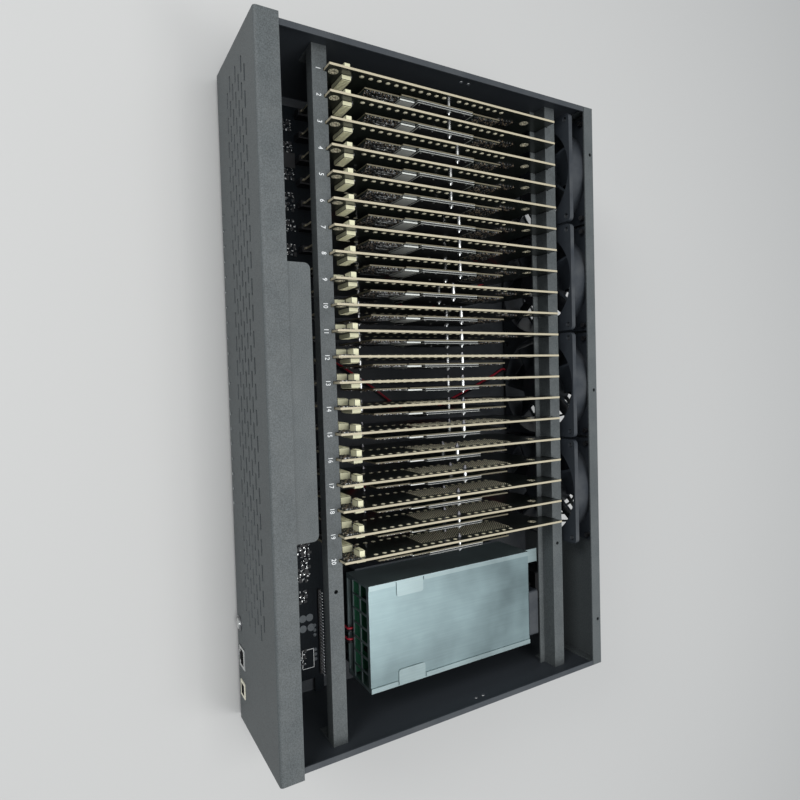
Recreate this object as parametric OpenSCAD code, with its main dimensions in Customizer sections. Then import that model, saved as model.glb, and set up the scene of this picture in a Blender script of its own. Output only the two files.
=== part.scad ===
/* [Case] */
// Width of the front panel
case_w = 500; // [496:1:520]
// Depth of the case from its front face to its back face
case_d = 300; // [298:1:330]
// Height of the front panel
case_h = 100; // [99:1:120]
// Thickness of the sheet steel
sheet = 1.2; // [1:0.1:1.4]
// Outer radius of the bends in the sheet steel
bend_r = 2.2; // [2:0.1:3]
// How far each end of the front panel stands out past the side wall
end_overhang = 3.5; // [3:0.1:5]
// Depth of the front panel's top flange
front_flange_d = 16.5; // [14:0.5:18]
// Depth of the rear panel's top flange
rear_flange_d = 10; // [8:0.5:10.5]
// Width of the inward lip along the top of each side wall
side_lip_w = 4.2; // [3:0.1:6]
// Height of the rubber feet below the case
foot_h = 4; // [3:0.5:8]
// Diameter of a rubber foot
foot_d = 16; // [12:1:20]
// Distance from a foot's centre to the case's sides
foot_inset = 28; // [20:1:40]

/* [Front slits] */
// Length of one vent slit
slit_w = 11.6; // [8:0.1:12.4]
// Height of one vent slit
slit_h = 3; // [1.5:0.1:4]
// Distance from one slit to the next in a row
slit_pitch = 17.55; // [17:0.05:17.8]
// Distance between the rows of slits
slit_row_pitch = 7.5; // [6.5:0.1:8]
// Height of the lowest row above the panel's bottom edge
slit_row_z = 30.8; // [29:0.1:34]
// Distance from the panel's left end to the first slit
slit_left_gap = 16.45; // [14:0.05:20]
// Distance from the last slit to the panel's right end
slit_right_gap = 85.85; // [80:0.05:95]
// Number of rows of slits
slit_rows = 7; // [3:1:7]

/* [Ports and lights] */
// Sideways place of the first indicator light
light_x = -143; // [-146:0.5:-140]
// Distance from one indicator light to the next
light_pitch = 11.66; // [11:0.02:12]
// Diameter of an indicator light's lens
light_d = 2; // [1.6:0.1:2.6]
// Distance from the power button's axis to the middle of the network socket
button_gap = 25.3; // [24:0.1:28]
// Height of the power button's axis above the panel's bottom edge
button_z = 8.8; // [8.7:0.1:9.4]
// Diameter of the power button's cap
button_d = 8.4; // [7:0.1:8.6]
// Diameter of the bezel round the power button
bezel_d = 12; // [11.8:0.1:12.4]
// How far the power button stands out of the panel
button_proud = 1.6; // [1.5:0.1:2]
// How far the power button travels when it is pressed
button_travel = 1; // [0.6:0.1:1]
// Distance between the middles of the two sockets
socket_gap = 25.4; // [24:0.1:28]
// Width of the network socket
network_w = 16; // [15.6:0.1:16.4]
// Height of the network socket
network_h = 13.8; // [13.2:0.1:14.4]
// Distance from the square data socket's middle to the right wall's inner face
data_side_gap = 22.7; // [22:0.1:24]
// Width of the square data socket
data_w = 12; // [11.6:0.1:12.4]
// Height of the square data socket
data_h = 11.4; // [11:0.1:12]

/* [Cards] */
// Number of cards
card_count = 20; // [20:1:20]
// Distance from the last card to the power supply
card_psu_gap = 27.4; // [24:0.1:32]
// Distance from the left wall's inner face to the first card
card_row_gap = 16.3; // [14:0.1:18]
// Height of a card's top edge above the panel's bottom edge
card_top_z = 94.5; // [92:0.5:96]
// Thickness of a card's board
card_t = 1.6; // [1.2:0.1:1.7]
// How far a card's ends reach into the rails' slots
card_insert = 1.9; // [1.6:0.1:2.2]
// Clearance below a card's ears and beside its tongue
card_gap = 0.2; // [0.15:0.05:0.3]

/* [Card rails] */
// Distance from the front face to the front rail
rail_y = 44; // [42:0.5:45]
// Depth of a rail's top flange
rail_w = 11; // [10:0.5:12]
// Height of a rail's top face
rail_z = 85; // [83:0.5:86]
// Height of the ledge that the cards rest on
ledge_z = 72; // [70:0.5:73]
// Width of the ledge that the cards rest on
ledge_w = 5; // [4:0.5:5.5]
// Width of a slot in a rail
slot_w = 2.3; // [2.1:0.1:2.6]
// Height of a rail's outer lip
rail_lip_h = 10; // [6:0.5:14]
// Distance between the rear rail and the fans
fan_rail_gap = 5.6; // [5:0.1:8]

/* [Fans] */
// Distance from the last fan to the right wall's inner face
fan_wall_gap = 110.2; // [109:0.1:116]
// Room for a fan between the case's floor and the panel's rim
fan_room_gap = 2.2; // [2:0.1:3]
// Depth of a fan
fan_d = 25; // [24:0.5:25.4]
// Gap between two fans
fan_gap = 2.3; // [1.5:0.1:3]
// Distance from the left wall's inner face to the first fan
fan_side_gap = 5.5; // [4:0.1:7]
// Distance from a fan's edge to its screw holes
fan_hole_edge = 4.75; // [4.5:0.05:5]
// Number of blades on a fan's rotor
blade_count = 7; // [5:1:9]
// Diameter of a fan's hub
fan_hub_d = 40; // [38:0.5:42]
// Pitch angle of a blade
blade_pitch = 38; // [32:1:42]
// Height of a fan screw's head behind the rear panel
fan_screw_proud = 2; // [1.5:0.1:2.5]

/* [Power supply] */
// Width of the power supply
psu_w = 82; // [81:0.5:82.5]
// Distance from the power supply to the rear rail's ledge
psu_rail_gap = 14.7; // [14:0.1:20]
// Height of the power supply's own box
psu_h = 40.5; // [40:0.5:44]
// Height of the power supply's underside
psu_z = 34.5; // [33:0.5:38]
// Distance from the front face to the power supply
psu_y = 80; // [79:0.5:81]
// Distance from the right wall's inner face to the power supply
psu_side_gap = 22.9; // [22:0.5:24]
// Thickness of the power supply's sheet
psu_sheet = 0.8; // [0.6:0.1:1]

/* [Hub board] */
// Height of the board's top face above the panel's bottom edge
board_z = 7; // [6.8:0.1:7.4]
// Thickness of the board
board_t = 1.6; // [1.4:0.1:1.8]
// Distance from the front face to the board's rear edge
board_y1 = 86; // [84:0.5:88]
// Width of the cover plate behind the front flange
shield_w = 185; // [170:1:200]
// Distance from the front face to the cover plate's rear edge
shield_y1 = 32.5; // [28:0.5:36]
// Diameter of the insulated wires
wire_d = 1.8; // [1.4:0.1:2]

/* [Hidden] */
$fn = 40;
// How far a cut runs past the solid that it cuts
over = 0.5;
// Clearance round a screw's shank, and round what passes through a panel
screw_clear = 0.1;
port_clear = 0.3;
// Radial clearance of a shaft in its bearing
shaft_clear = 0.05;

// Places shared by many pieces, from the front face and the panel's bottom edge
wall_x = case_w / 2 - end_overhang;
wall_in = wall_x - sheet;
floor_z = 2 * sheet;
rim_z = case_h - sheet;
front_y = -case_d / 2 + (button_proud - fan_screw_proud) / 2;
psu_x1 = wall_in - psu_side_gap;
psu_x0 = psu_x1 - psu_w;
psu_mid_x = (psu_x0 + psu_x1) / 2;
psu_top = psu_z + psu_h;
first_card_x = -wall_in + card_row_gap;
card_pitch = (psu_x0 - card_psu_gap - first_card_x) / (card_count - 1);
rail_edge_y = rail_y + rail_w;
card_y = rail_edge_y - card_insert;
fan_y = case_d - sheet - fan_d;
rear_rail_y = fan_y - fan_rail_gap - rail_w;
card_len = rear_rail_y + card_insert - card_y;
psu_y1 = rear_rail_y - ledge_w - psu_rail_gap;
psu_l = psu_y1 - psu_y;
// A fan is as large as the space beside it and the height of the case allow
fans = 4;
fan_edge_gap = 1;
fan_row_w = 2 * wall_in - fan_side_gap - fan_wall_gap;
fan_size = min((fan_row_w - (fans - 1) * fan_gap) / fans, rim_z - floor_z - 2 * fan_room_gap);
fan_hole_pitch = fan_size - 2 * fan_hole_edge;
fan_z = floor_z + fan_size / 2 + 2 * fan_edge_gap;
fan_pitch = fan_size + fan_gap;
// Ports and slits, from the right wall and the panel's ends
data_x = wall_in - data_side_gap;
network_x = data_x - socket_gap;
button_x = network_x - button_gap;
slit_room = case_w - slit_left_gap - slit_right_gap - slit_w;
slit_count = floor((slit_room + slit_h) / slit_pitch) + 1;

// Screw sizes: shank and head diameters of the small and the middle screws
m3_d = 3;
m3_head_d = 5.6;
m3_head_h = 1.6;
boss_d = 5;

// Side wall holes near the rim, a pair on each wall
wall_hole_y = 168.2;
wall_hole_pitch = 7;
wall_hole_z = 86.7;
// Lid screw holes in the rear flange, and holes in the rails' flanges
lid_hole_side = 40.5;
lid_hole_x = wall_x - lid_hole_side;
rail_hole_gap = 5.6;
rail_hole_x = psu_x0 - rail_hole_gap;
// Depth of a slot in a rail, depth and height of its end tab, height of its screw
slot_end_gap = 0.7;
slot_d = card_insert + slot_end_gap;
tab_h = 25;
tab_screw_z = rail_z - tab_h / 2;
// Rear panel's returns at its bottom and ends
rear_return_d = 9;
return_gap = 3;

// Grille rings behind each fan
grille_hub_r = 9.2;
grille_slot = 5.4;
grille_bar = 1.8;
grille_pitch = grille_slot + grille_bar;
grille_rings = floor((fan_size / 2 - fan_edge_gap - grille_hub_r - grille_slot) / grille_pitch) + 1;

// Fan details
fan_corner_r = 4;
fan_flange_t = 4;
fan_duct_r = fan_size / 2 - 1.4 * fan_edge_gap;
fan_barrel_r = fan_size / 2 - 0.1 * fan_edge_gap;
fan_hole_d = 4.4;
fan_screw_d = 4;
fan_screw_head_d = 7;
tip_gap = 1;
blade_t = 1.6;
blade_camber_r = 42;
blade_chord = 27;
blade_z0 = 2.5;
blade_z1 = 20;
cup_z0 = 1.5;
cup_z1 = 20.5;
cup_t = 1.6;
shaft_r = 1.5;
bearing_r = 4.5;
bearing_z0 = 6;
motor_plate_t = 2.6;
strut_w = 3.6;
strut_t = 2.4;
stator_r = 15;
stator_z0 = 9;

// Lights, button and sockets
light_z = board_z + light_d / 2;
light_body_h = light_d;
bezel_t = 0.6;
switch_thread_d = 10;
switch_l = 17;
switch_bore_l = 9;
switch_nut_w = 12;
switch_nut_t = 2.5;
switch_pin_l = 4;
notch_w = 17;
notch_d = 24;
network_d = 21;
network_proud = 0.6;
jack_wall = 0.9;
network_mouth_w = 11.8;
network_mouth_h = 8;
network_mouth_d = 14;
network_key_w = 6.4;
network_key_h = 2.6;
data_d = 16;
data_mouth_d = 9;
data_tongue_w = 5.6;
data_tongue_h = 3.2;

// Hub board
board_left_gap = 9;
board_right_gap = 12;
board_x0 = -wall_in + board_left_gap;
board_x1 = wall_in - board_right_gap;
board_tab_w = 8;
board_tab_y = 61;
board_y0 = sheet + 1.2 * sheet;
standoff_y0 = 9;
standoff_y1 = board_y1 - 3.4 * m3_d / 2;
port_gap_x = (network_x + network_w / 2 + data_x - data_w / 2) / 2;
socket_w = 4.8;
socket_y0 = rail_edge_y + 4;
socket_l = 19;
socket_h = 10;
socket_wall = 1.3;
socket_floor = 2.6;
header_side_gap = 15.2;
header_y = 66.5;
header_pins = 28;
header_step = 2.54;
header_x0 = wall_in - header_side_gap - header_pins * header_step;
header_base_h = 2.5;
header_pin_w = 0.64;
header_pin_h = 8.5;
chip_h = 1.4;
plug_w = 7;
plug_d = 5;
plug_h = 6;
plug_y1 = board_y1 - sheet;
terminal_w = 22;
terminal_d = 9;
terminal_h = 10;
terminal_side_gap = 33.4;
terminal_x = psu_x1 - terminal_side_gap;
terminal_y = 77.5;
power_jack_w = 9;
power_jack_d = 12;
power_jack_h = 6.5;
power_jack_y = 33;

// Card outline and what the card carries
ear_z = ledge_z + card_gap;
body_y0 = rail_edge_y + ledge_w + 1.2 * sheet;
body_y1 = rear_rail_y - ledge_w - 3 * sheet;
body_z0 = board_z + socket_h + 3;
tongue_y0 = socket_y0 + socket_wall + card_gap;
tongue_y1 = socket_y0 + socket_l - socket_wall - card_gap;
tongue_z0 = board_z + socket_floor + card_gap;
module_y0 = 84;
module_rear_gap = 42.6;
module_y1 = body_y1 - module_rear_gap;
module_l = module_y1 - module_y0;
module_z0 = 24;
module_z1 = 88;
module_t = 1;
module_off = 4.4;
// What lies on the phone board, by its share of the board's length from the front
can_t = 2;
can_y_shares = [0.241, 0.348];
can_z0 = 60;
can_z1 = 84.2;
cover_y_shares = [0.352, 0.77];
cover_z0 = 42;
cover_z1 = 87.8;
// Screws: two in one column, whose place is the near or the far one, and one low near the front
near_column_share = 0.597;
far_column_share = 0.654;
low_column_share = 0.12;
far_cards = [3, 6, 7, 8, 10, 11, 12, 13, 14, 15, 17];
column_z = [84.6, 64];
low_screw_z = 34;
card_screw_d = 2;
card_screw_out = 1.6;
spacer_d = 4;
seam = 0.05;
// Upright plugs: the tall one on the right face, the wide and the small one on the left face
tall_plug_h = 18;
tall_plug_w = 7.5;
tall_plug_out = 3.3;
tall_plug_y = 65.5;
tall_plug_drop = 8.2;
wide_plug_h = 19.8;
wide_plug_w = 8.6;
wide_plug_out = 5.4;
wide_plug_y = 60.5;
wide_plug_z0 = 53;
small_plug_w = 4.6;
small_plug_h = 9.6;
small_plug_y = 66.2;
small_plug_drop = 4.7;

// Power supply details
fold_w = 3.8;
fold_tab_w = 12.4;
fold_tab_l = 24;
fold_tab_y = 24;
fold_tab_r = 2;
fold_slit = 0.8;
grid_columns = 7;
grid_rows = 2;
grid_bar = 1.6;
grid_z = 12;
psu_board_z = 5;
psu_fan_size = 40;
psu_fan_d = 10;
psu_fan_hub_d = 18;
psu_fan_in = 3.4;
ear_w = 11.7;
ear_l = 13;
bracket_foot_w = 12;
bracket_edge = 8;

// Mains inlet on the rear panel
inlet_side_gap = 55.3;
inlet_x = wall_in - inlet_side_gap;
inlet_z = 30;
inlet_w = 27.4;
inlet_h = 20;
inlet_flange_w = 48;
inlet_flange_h = 23;
inlet_flange_t = 1.9;
inlet_d = 22;
inlet_mouth_w = 24;
inlet_mouth_h = 16.6;
inlet_mouth_d = 16;
inlet_hole_pitch = 40;
blade_pin_w = 2;
blade_pin_h = 4;
blade_pin_l = 14;
blade_pin_gap = 7;
mains_d = 6;
// Routes: the mains lead from the inlet's middle and the case's back, a fan's lead sideways from the
// fan's centre and by its share of the way from plug to fan, the supply's wires from their terminal
mains_route = [
    [0, -23.2, 30], [0, -30, 30], [-3, -38, 31], [-9, -44, 34], [-17, -49, 40],
    [-23, -52, 45], [-25.6, -56, 48.5], [-25.6, -62.5, 48.5]
];
lead_x = [-15, -15, -7, 16, 24, 16, -3, -22, -22];
lead_y_shares = [1, 0.975, 0.895, 0.6, 0.472, 0.345, 0.202, 0.0275, 0];
lead_gap = 2.2;
dc_route = [[0, 82.2, 41.1], [0, 78.4, 40.8], [0, 77.5, 36], [0, 77.5, 17]];
dc_pitch = 4.4;

// Colours of the finishes
coat = "#3b4247";
dark_coat = "#2a3138";
board_black = "#15181a";
board_edge = "#b7a578";
plastic_black = "#1b1e20";
cream = "#d9d5b4";
zinc = "#93a9ab";
steel = "#b9bdbf";
copper_gold = "#c7a352";

function card_x(n) = first_card_x + n * card_pitch;
function fan_x(n) = -wall_in + fan_side_gap + fan_size / 2 + n * fan_pitch;
function slit_x(n, row) =
    -case_w / 2 + slit_left_gap + slit_w / 2 + (n + (row % 2 == 0 ? 0.5 : 0)) * slit_pitch;
function plug_x(n) = fan_x(n) + lead_x[8];
function column_y(n) = module_y0
    + module_l * (len(search(n + 1, far_cards)) > 0 ? far_column_share : near_column_share);

// Places the children in the case's own frame: front face at y = 0, panel's bottom edge at z = 0
module in_case() {
    translate([0, front_y, foot_h]) children();
}

// A box given by its low and high corners
module block(low, high) {
    translate(low) cube(high - low);
}

// A flat rectangle with rounded corners, centred
module round_plate(w, h, r) {
    square([w - 2 * r, h], center = true);
    square([w, h - 2 * r], center = true);
    for (sx = [-1, 1])
        for (sy = [-1, 1])
            translate([sx * (w / 2 - r), sy * (h / 2 - r)]) circle(r);
}

// Draws a flat outline of sideways and upright sizes as a sheet that starts at depth y
module upright_sheet(y, t) {
    translate([0, y + t, 0]) rotate([90, 0, 0]) linear_extrude(t) children();
}

// A tube swept along points, with flat ends
function unit(v) = v / norm(v);
function along(p, n) = unit(p[min(n + 1, len(p) - 1)] - p[max(n - 1, 0)]);
function ring_points(p, r, sides) = [
    for (n = [0 : len(p) - 1])
        let (t = along(p, n), s = unit(cross(t, [0, 0, 1] + 0.01 * [1, 0, 0])), u = cross(s, t))
            for (k = [0 : sides - 1])
                p[n] + r * (cos(360 * k / sides) * s + sin(360 * k / sides) * u)
];
function ring_faces(count, sides) = concat(
    [[for (k = [0 : sides - 1]) k]],
    [for (n = [0 : count - 2], k = [0 : sides - 1])
        [n * sides + k, (n + 1) * sides + k, (n + 1) * sides + (k + 1) % sides]],
    [for (n = [0 : count - 2], k = [0 : sides - 1])
        [n * sides + k, (n + 1) * sides + (k + 1) % sides, n * sides + (k + 1) % sides]],
    [[for (k = [sides - 1 : -1 : 0]) (count - 1) * sides + k]]
);
module tube(points, d, sides) {
    polyhedron(ring_points(points, d / 2, sides), ring_faces(len(points), sides));
}

// Side outline of the front panel, with rounded front corners, and the space inside it
module pan_outer() {
    translate([bend_r, 0]) square([front_flange_d - bend_r, case_h]);
    translate([0, bend_r]) square([bend_r, case_h - 2 * bend_r]);
    for (z = [bend_r, case_h - bend_r])
        translate([bend_r, z]) circle(bend_r);
}

module pan_inner() {
    translate([sheet, sheet]) square([front_flange_d, rim_z - sheet]);
}

module slit_shape() {
    square([slit_w - slit_h, slit_h], center = true);
    for (side = [-1, 1])
        translate([side * (slit_w - slit_h) / 2, 0]) circle(slit_h / 2, $fn = 24);
}

// Openings of the front panel, seen from the front
module front_openings() {
    for (row = [0 : slit_rows - 1])
        for (n = [0 : slit_count - 1 - (row % 2 == 0 ? 1 : 0)])
            translate([slit_x(n, row), slit_row_z + row * slit_row_pitch]) slit_shape();
    for (n = [0 : card_count - 1])
        translate([light_x + n * light_pitch, light_z]) circle(light_d / 2 + screw_clear);
    translate([button_x, button_z]) circle(switch_thread_d / 2 + screw_clear);
    translate([network_x, board_z + network_h / 2])
        square([network_w + 2 * port_clear, network_h + 2 * port_clear], center = true);
    translate([data_x, board_z + data_h / 2])
        square([data_w + 2 * port_clear, data_h + 2 * port_clear], center = true);
}

module front_panel() {
    color(coat) in_case() difference() {
        union() {
            translate([-case_w / 2, 0, 0]) rotate([90, 0, 90]) linear_extrude(case_w)
                difference() {
                    pan_outer();
                    pan_inner();
                }
            for (x = [-case_w / 2, case_w / 2 - sheet])
                translate([x, 0, 0]) rotate([90, 0, 90]) linear_extrude(sheet) pan_outer();
        }
        upright_sheet(-over, sheet + 2 * over) front_openings();
    }
}

// Cross-section of the tray: floor and side walls with rounded bottom bends
module tray_outline(x, z, r) {
    translate([-x, z + r]) square([2 * x, case_h]);
    translate([-x + r, z]) square([2 * (x - r), r]);
    for (side = [-1, 1])
        translate([side * (x - r), z + r]) circle(r);
}

module base_tray() {
    lip_z = rim_z - sheet;
    color(dark_coat) in_case() difference() {
        union() {
            upright_sheet(sheet, case_d - 2 * sheet) intersection() {
                difference() {
                    tray_outline(wall_x, sheet, bend_r);
                    tray_outline(wall_in, floor_z, bend_r - sheet);
                }
                translate([-case_w / 2, 0]) square([case_w, lip_z]);
            }
            for (side = [-1, 1])
                block(
                    [side > 0 ? wall_x - side_lip_w : -wall_x, front_flange_d + over, lip_z],
                    [side > 0 ? wall_x : side_lip_w - wall_x, case_d - rear_flange_d - over, rim_z]
                );
        }
        for (y = [wall_hole_y, wall_hole_y + wall_hole_pitch])
            translate([-case_w / 2, y, wall_hole_z]) rotate([0, 90, 0]) cylinder(case_w, d = m3_d);
        for (y = [rail_y + rail_w / 2, rear_rail_y + rail_w / 2])
            translate([-case_w / 2, y, tab_screw_z]) rotate([0, 90, 0])
                cylinder(case_w, d = m3_d + 2 * screw_clear);
        bracket_places() translate([0, 0, -over]) cylinder(floor_z + 2 * over, d = m3_d + 2 * screw_clear);
    }
}

module grille_shape() {
    difference() {
        for (n = [0 : grille_rings - 1])
            difference() {
                circle(grille_hub_r + n * grille_pitch + grille_slot);
                circle(grille_hub_r + n * grille_pitch);
            }
        for (a = [45, 135])
            rotate(a) square([fan_size, 2 * grille_bar], center = true);
    }
}

module rear_openings() {
    for (n = [0 : fans - 1])
        translate([fan_x(n), fan_z]) {
            grille_shape();
            for (sx = [-1, 1])
                for (sz = [-1, 1])
                    translate([sx, sz] * fan_hole_pitch / 2) circle(fan_hole_d / 2);
        }
    translate([inlet_x, inlet_z]) {
        square([inlet_w + 2 * port_clear, inlet_h + 2 * port_clear], center = true);
        for (side = [-1, 1])
            translate([side * inlet_hole_pitch / 2, 0]) circle(m3_d / 2 + screw_clear);
    }
}

module rear_panel() {
    return_y = case_d - rear_return_d;
    color(coat) in_case() difference() {
        union() {
            block([-wall_x, case_d - sheet, 0], [wall_x, case_d, rim_z]);
            block([-wall_x, case_d - rear_flange_d, rim_z - sheet], [wall_x, case_d, rim_z]);
            block([-wall_x, return_y, 0], [wall_x, case_d, sheet]);
            for (x = [-wall_in, wall_in - sheet])
                block([x, return_y, floor_z + return_gap], [x + sheet, case_d, rim_z]);
        }
        upright_sheet(case_d - sheet - over, sheet + 2 * over) rear_openings();
        for (x = [-lid_hole_x, 0, lid_hole_x])
            translate([x, case_d - rear_flange_d / 3, rim_z - sheet - over])
                cylinder(sheet + 2 * over, d = m3_d);
    }
}

// Cover plate that hangs below the front flange, with a short leg behind the face
module hub_shield() {
    leg_h = 13;
    corner_r = 4;
    plate_d = shield_y1 - sheet;
    color(coat) in_case() {
        translate([0, sheet + plate_d / 2, rim_z - sheet])
            linear_extrude(sheet) {
                round_plate(shield_w, plate_d, corner_r);
                translate([-shield_w / 2, -plate_d / 2]) square([shield_w, corner_r]);
            }
        block([-shield_w / 2, sheet, rim_z - leg_h], [shield_w / 2, 2 * sheet, rim_z - sheet]);
    }
}

// A card rail: its card side is at y = 0 and its outer lip at y = rail_w
module card_rail() {
    difference() {
        union() {
            block([-wall_in, 0, rail_z - sheet], [wall_in, rail_w, rail_z]);
            block([-wall_in, 0, ledge_z - sheet], [wall_in, sheet, rail_z]);
            block([-wall_in, -ledge_w, ledge_z - sheet], [wall_in, sheet, ledge_z]);
            block([-wall_in, rail_w - sheet, rail_z - rail_lip_h], [wall_in, rail_w, rail_z]);
            for (x = [-wall_in, wall_in - sheet])
                block([x, 0, rail_z - tab_h], [x + sheet, rail_w, rail_z]);
        }
        for (n = [0 : card_count - 1])
            block(
                [card_x(n) - slot_w / 2, -over, ledge_z],
                [card_x(n) + slot_w / 2, slot_d, rail_z + over]
            );
        translate([rail_hole_x, rail_w / 2, rail_z - sheet - over]) cylinder(sheet + 2 * over, d = m3_d);
        translate([-case_w / 2, rail_w / 2, tab_screw_z]) rotate([0, 90, 0])
            cylinder(case_w, d = m3_d + 2 * screw_clear);
    }
}

module front_card_rail() {
    color(coat) in_case() translate([0, rail_edge_y, 0]) mirror([0, 1, 0]) card_rail();
}

module rear_card_rail() {
    color(coat) in_case() translate([0, rear_rail_y, 0]) card_rail();
}

// Screws through the side walls into the rails' end tabs, each with its nut
module rail_screws() {
    shank_l = 3 * sheet + 2 * m3_d;
    nut_h = 0.8 * m3_d;
    color(steel) in_case()
        for (side = [-1, 1])
            for (y = [rail_y + rail_w / 2, rear_rail_y + rail_w / 2])
                translate([side * wall_x, y, tab_screw_z]) rotate([0, -90 * side, 0]) {
                    translate([0, 0, -m3_head_h]) cylinder(m3_head_h, d = m3_head_d);
                    cylinder(shank_l, d = m3_d);
                    translate([0, 0, 2 * sheet]) cylinder(nut_h, d = 2 * m3_d, $fn = 6);
                }
}

// Places of the hub board's screws
module standoff_places() {
    end_x = plug_x(0) - plug_w - sheet / 3;
    for (x = [end_x, (plug_x(1) + plug_x(2)) / 2, (plug_x(2) + plug_x(3)) / 2, port_gap_x])
        for (y = [standoff_y0, standoff_y1])
            translate([x, y, 0]) children();
}

module hub_board() {
    color(board_black) in_case() difference() {
        union() {
            block([board_x0, board_y0, board_z - board_t], [board_x1, board_y1, board_z]);
            block(
                [board_x1 - over, board_tab_y, board_z - board_t],
                [wall_in - port_clear, board_tab_y + board_tab_w, board_z]
            );
        }
        block(
            [button_x - notch_w / 2, -over, board_z - board_t - over],
            [button_x + notch_w / 2, notch_d, board_z + over]
        );
        standoff_places() translate([0, 0, board_z - board_t - over])
            cylinder(board_t + 2 * over, d = m3_d + 2 * screw_clear);
    }
}

module board_standoffs() {
    color(steel) in_case() standoff_places() translate([0, 0, floor_z]) difference() {
        cylinder(board_z - board_t - floor_z, d = boss_d);
        translate([0, 0, -over]) cylinder(board_z, d = m3_d + screw_clear);
    }
}

module board_screws() {
    color(steel) in_case() standoff_places() {
        translate([0, 0, board_z]) cylinder(m3_head_h, d = m3_head_d);
        translate([0, 0, floor_z]) cylinder(board_z - floor_z, d = m3_d);
    }
}

// Square chips in a row behind the shield, one for each block of cards
module hub_chips() {
    chip_w = 7;
    big_chip_w = 12;
    chip_y = 24;
    big_chip_y = power_jack_y + power_jack_d + sheet;
    color(plastic_black) in_case() {
        for (n = [0 : card_count - 1])
            block(
                [card_x(n) + 2 * chip_w / 2, chip_y, board_z],
                [card_x(n) + 2 * chip_w, chip_y + chip_w, board_z + chip_h]
            );
        for (n = [2, 7, 12, 17])
            block(
                [card_x(n) - big_chip_w / 2, big_chip_y, board_z],
                [card_x(n) + big_chip_w / 2, big_chip_y + big_chip_w, board_z + chip_h]
            );
    }
}

// Fan plugs along the rear edge, the power supply's terminal block and the front power jacks
module hub_connectors() {
    jack_count = 9;
    jack_step = 2 * card_pitch;
    color(cream) in_case() {
        for (n = [0 : fans - 1])
            translate([plug_x(n), plug_y1 - plug_d / 2, board_z + plug_h / 2])
                cube([plug_w, plug_d, plug_h], center = true);
        block(
            [terminal_x - terminal_w / 2, terminal_y - terminal_d / 2, board_z],
            [terminal_x + terminal_w / 2, terminal_y + terminal_d / 2, board_z + terminal_h]
        );
        for (n = [0 : jack_count - 1])
            translate([card_x(0) + 2 * power_jack_w + n * jack_step, power_jack_y, board_z])
                difference() {
                    block([0, 0, 0], [power_jack_w, power_jack_d, power_jack_h]);
                    block(
                        [jack_wall, -over, jack_wall],
                        [power_jack_w - jack_wall, power_jack_d / 2, power_jack_h - jack_wall]
                    );
                }
    }
}

// Upright slot sockets that take the cards' tongues
module card_sockets() {
    color(plastic_black) in_case()
        for (n = [0 : card_count - 1])
            translate([card_x(n), socket_y0, board_z]) difference() {
                block([-socket_w / 2, 0, 0], [socket_w / 2, socket_l, socket_h]);
                block(
                    [-card_t / 2 - card_gap, socket_wall, socket_floor],
                    [card_t / 2 + card_gap, socket_l - socket_wall, socket_h + over]
                );
            }
}

module pin_header() {
    base_l = header_pins * header_step;
    color(plastic_black) in_case() translate([header_x0, header_y, board_z])
        block([0, -header_step / 2, 0], [base_l, header_step / 2, header_base_h]);
    color(copper_gold) in_case() translate([header_x0, header_y, board_z + header_base_h])
        for (n = [0 : header_pins - 1])
            translate([(n + 0.5) * header_step, 0, (header_pin_h - header_base_h) / 2])
                cube([header_pin_w, header_pin_w, header_pin_h - header_base_h], center = true);
}

// Shielded network socket with its stepped mouth towards the front
module network_socket() {
    mouth_z = (network_h - network_mouth_h) / 2;
    color(steel) in_case() translate([network_x, -network_proud, board_z]) difference() {
        block([-network_w / 2, 0, 0], [network_w / 2, network_d, network_h]);
        block(
            [-network_mouth_w / 2, -over, mouth_z],
            [network_mouth_w / 2, network_mouth_d, mouth_z + network_mouth_h]
        );
        block(
            [-network_key_w / 2, -over, mouth_z - network_key_h + over / 2],
            [network_key_w / 2, network_mouth_d, mouth_z + over / 2]
        );
    }
}

// Square data socket: a metal shell round a plastic tongue
module data_socket() {
    color(cream) in_case() translate([data_x, -network_proud, board_z]) {
        difference() {
            block([-data_w / 2, 0, 0], [data_w / 2, data_d, data_h]);
            block(
                [-data_w / 2 + 2 * jack_wall, -over, 2 * jack_wall],
                [data_w / 2 - 2 * jack_wall, data_mouth_d, data_h - 2 * jack_wall]
            );
        }
        translate([0, (data_mouth_d + sheet) / 2, data_h / 2])
            cube([data_tongue_w, data_mouth_d - sheet, data_tongue_h], center = true);
    }
}

// Places the children on the power button's axis, with z running into the case
module on_button_axis() {
    translate([button_x, 0, button_z]) rotate([-90, 0, 0]) children();
}

// Round switch in the panel: bezel, threaded barrel with a bore for the cap, nut and two pins
module power_switch() {
    color(steel) in_case() on_button_axis() {
        difference() {
            union() {
                translate([0, 0, -bezel_t]) cylinder(bezel_t, d = bezel_d);
                cylinder(switch_l, d = switch_thread_d);
                translate([0, 0, sheet]) cylinder(switch_nut_t, d = switch_nut_w / cos(30), $fn = 6);
            }
            translate([0, 0, -bezel_t - over])
                cylinder(bezel_t + over + switch_bore_l, d = button_d + 2 * shaft_clear);
        }
        for (side = [-1, 1])
            translate([side * button_d / 4, 0, switch_l + switch_pin_l / 2 - over])
                cube([sheet, sheet, switch_pin_l + over], center = true);
    }
}

// Cap of the power button, with a small step round its face
module power_button() {
    color(steel) in_case() on_button_axis() {
        translate([0, 0, -button_proud]) cylinder(button_proud, d = button_d - sheet);
        translate([0, 0, -button_proud + bezel_t / 2])
            cylinder(button_proud + switch_bore_l - button_travel - bezel_t, d = button_d);
    }
}

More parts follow.
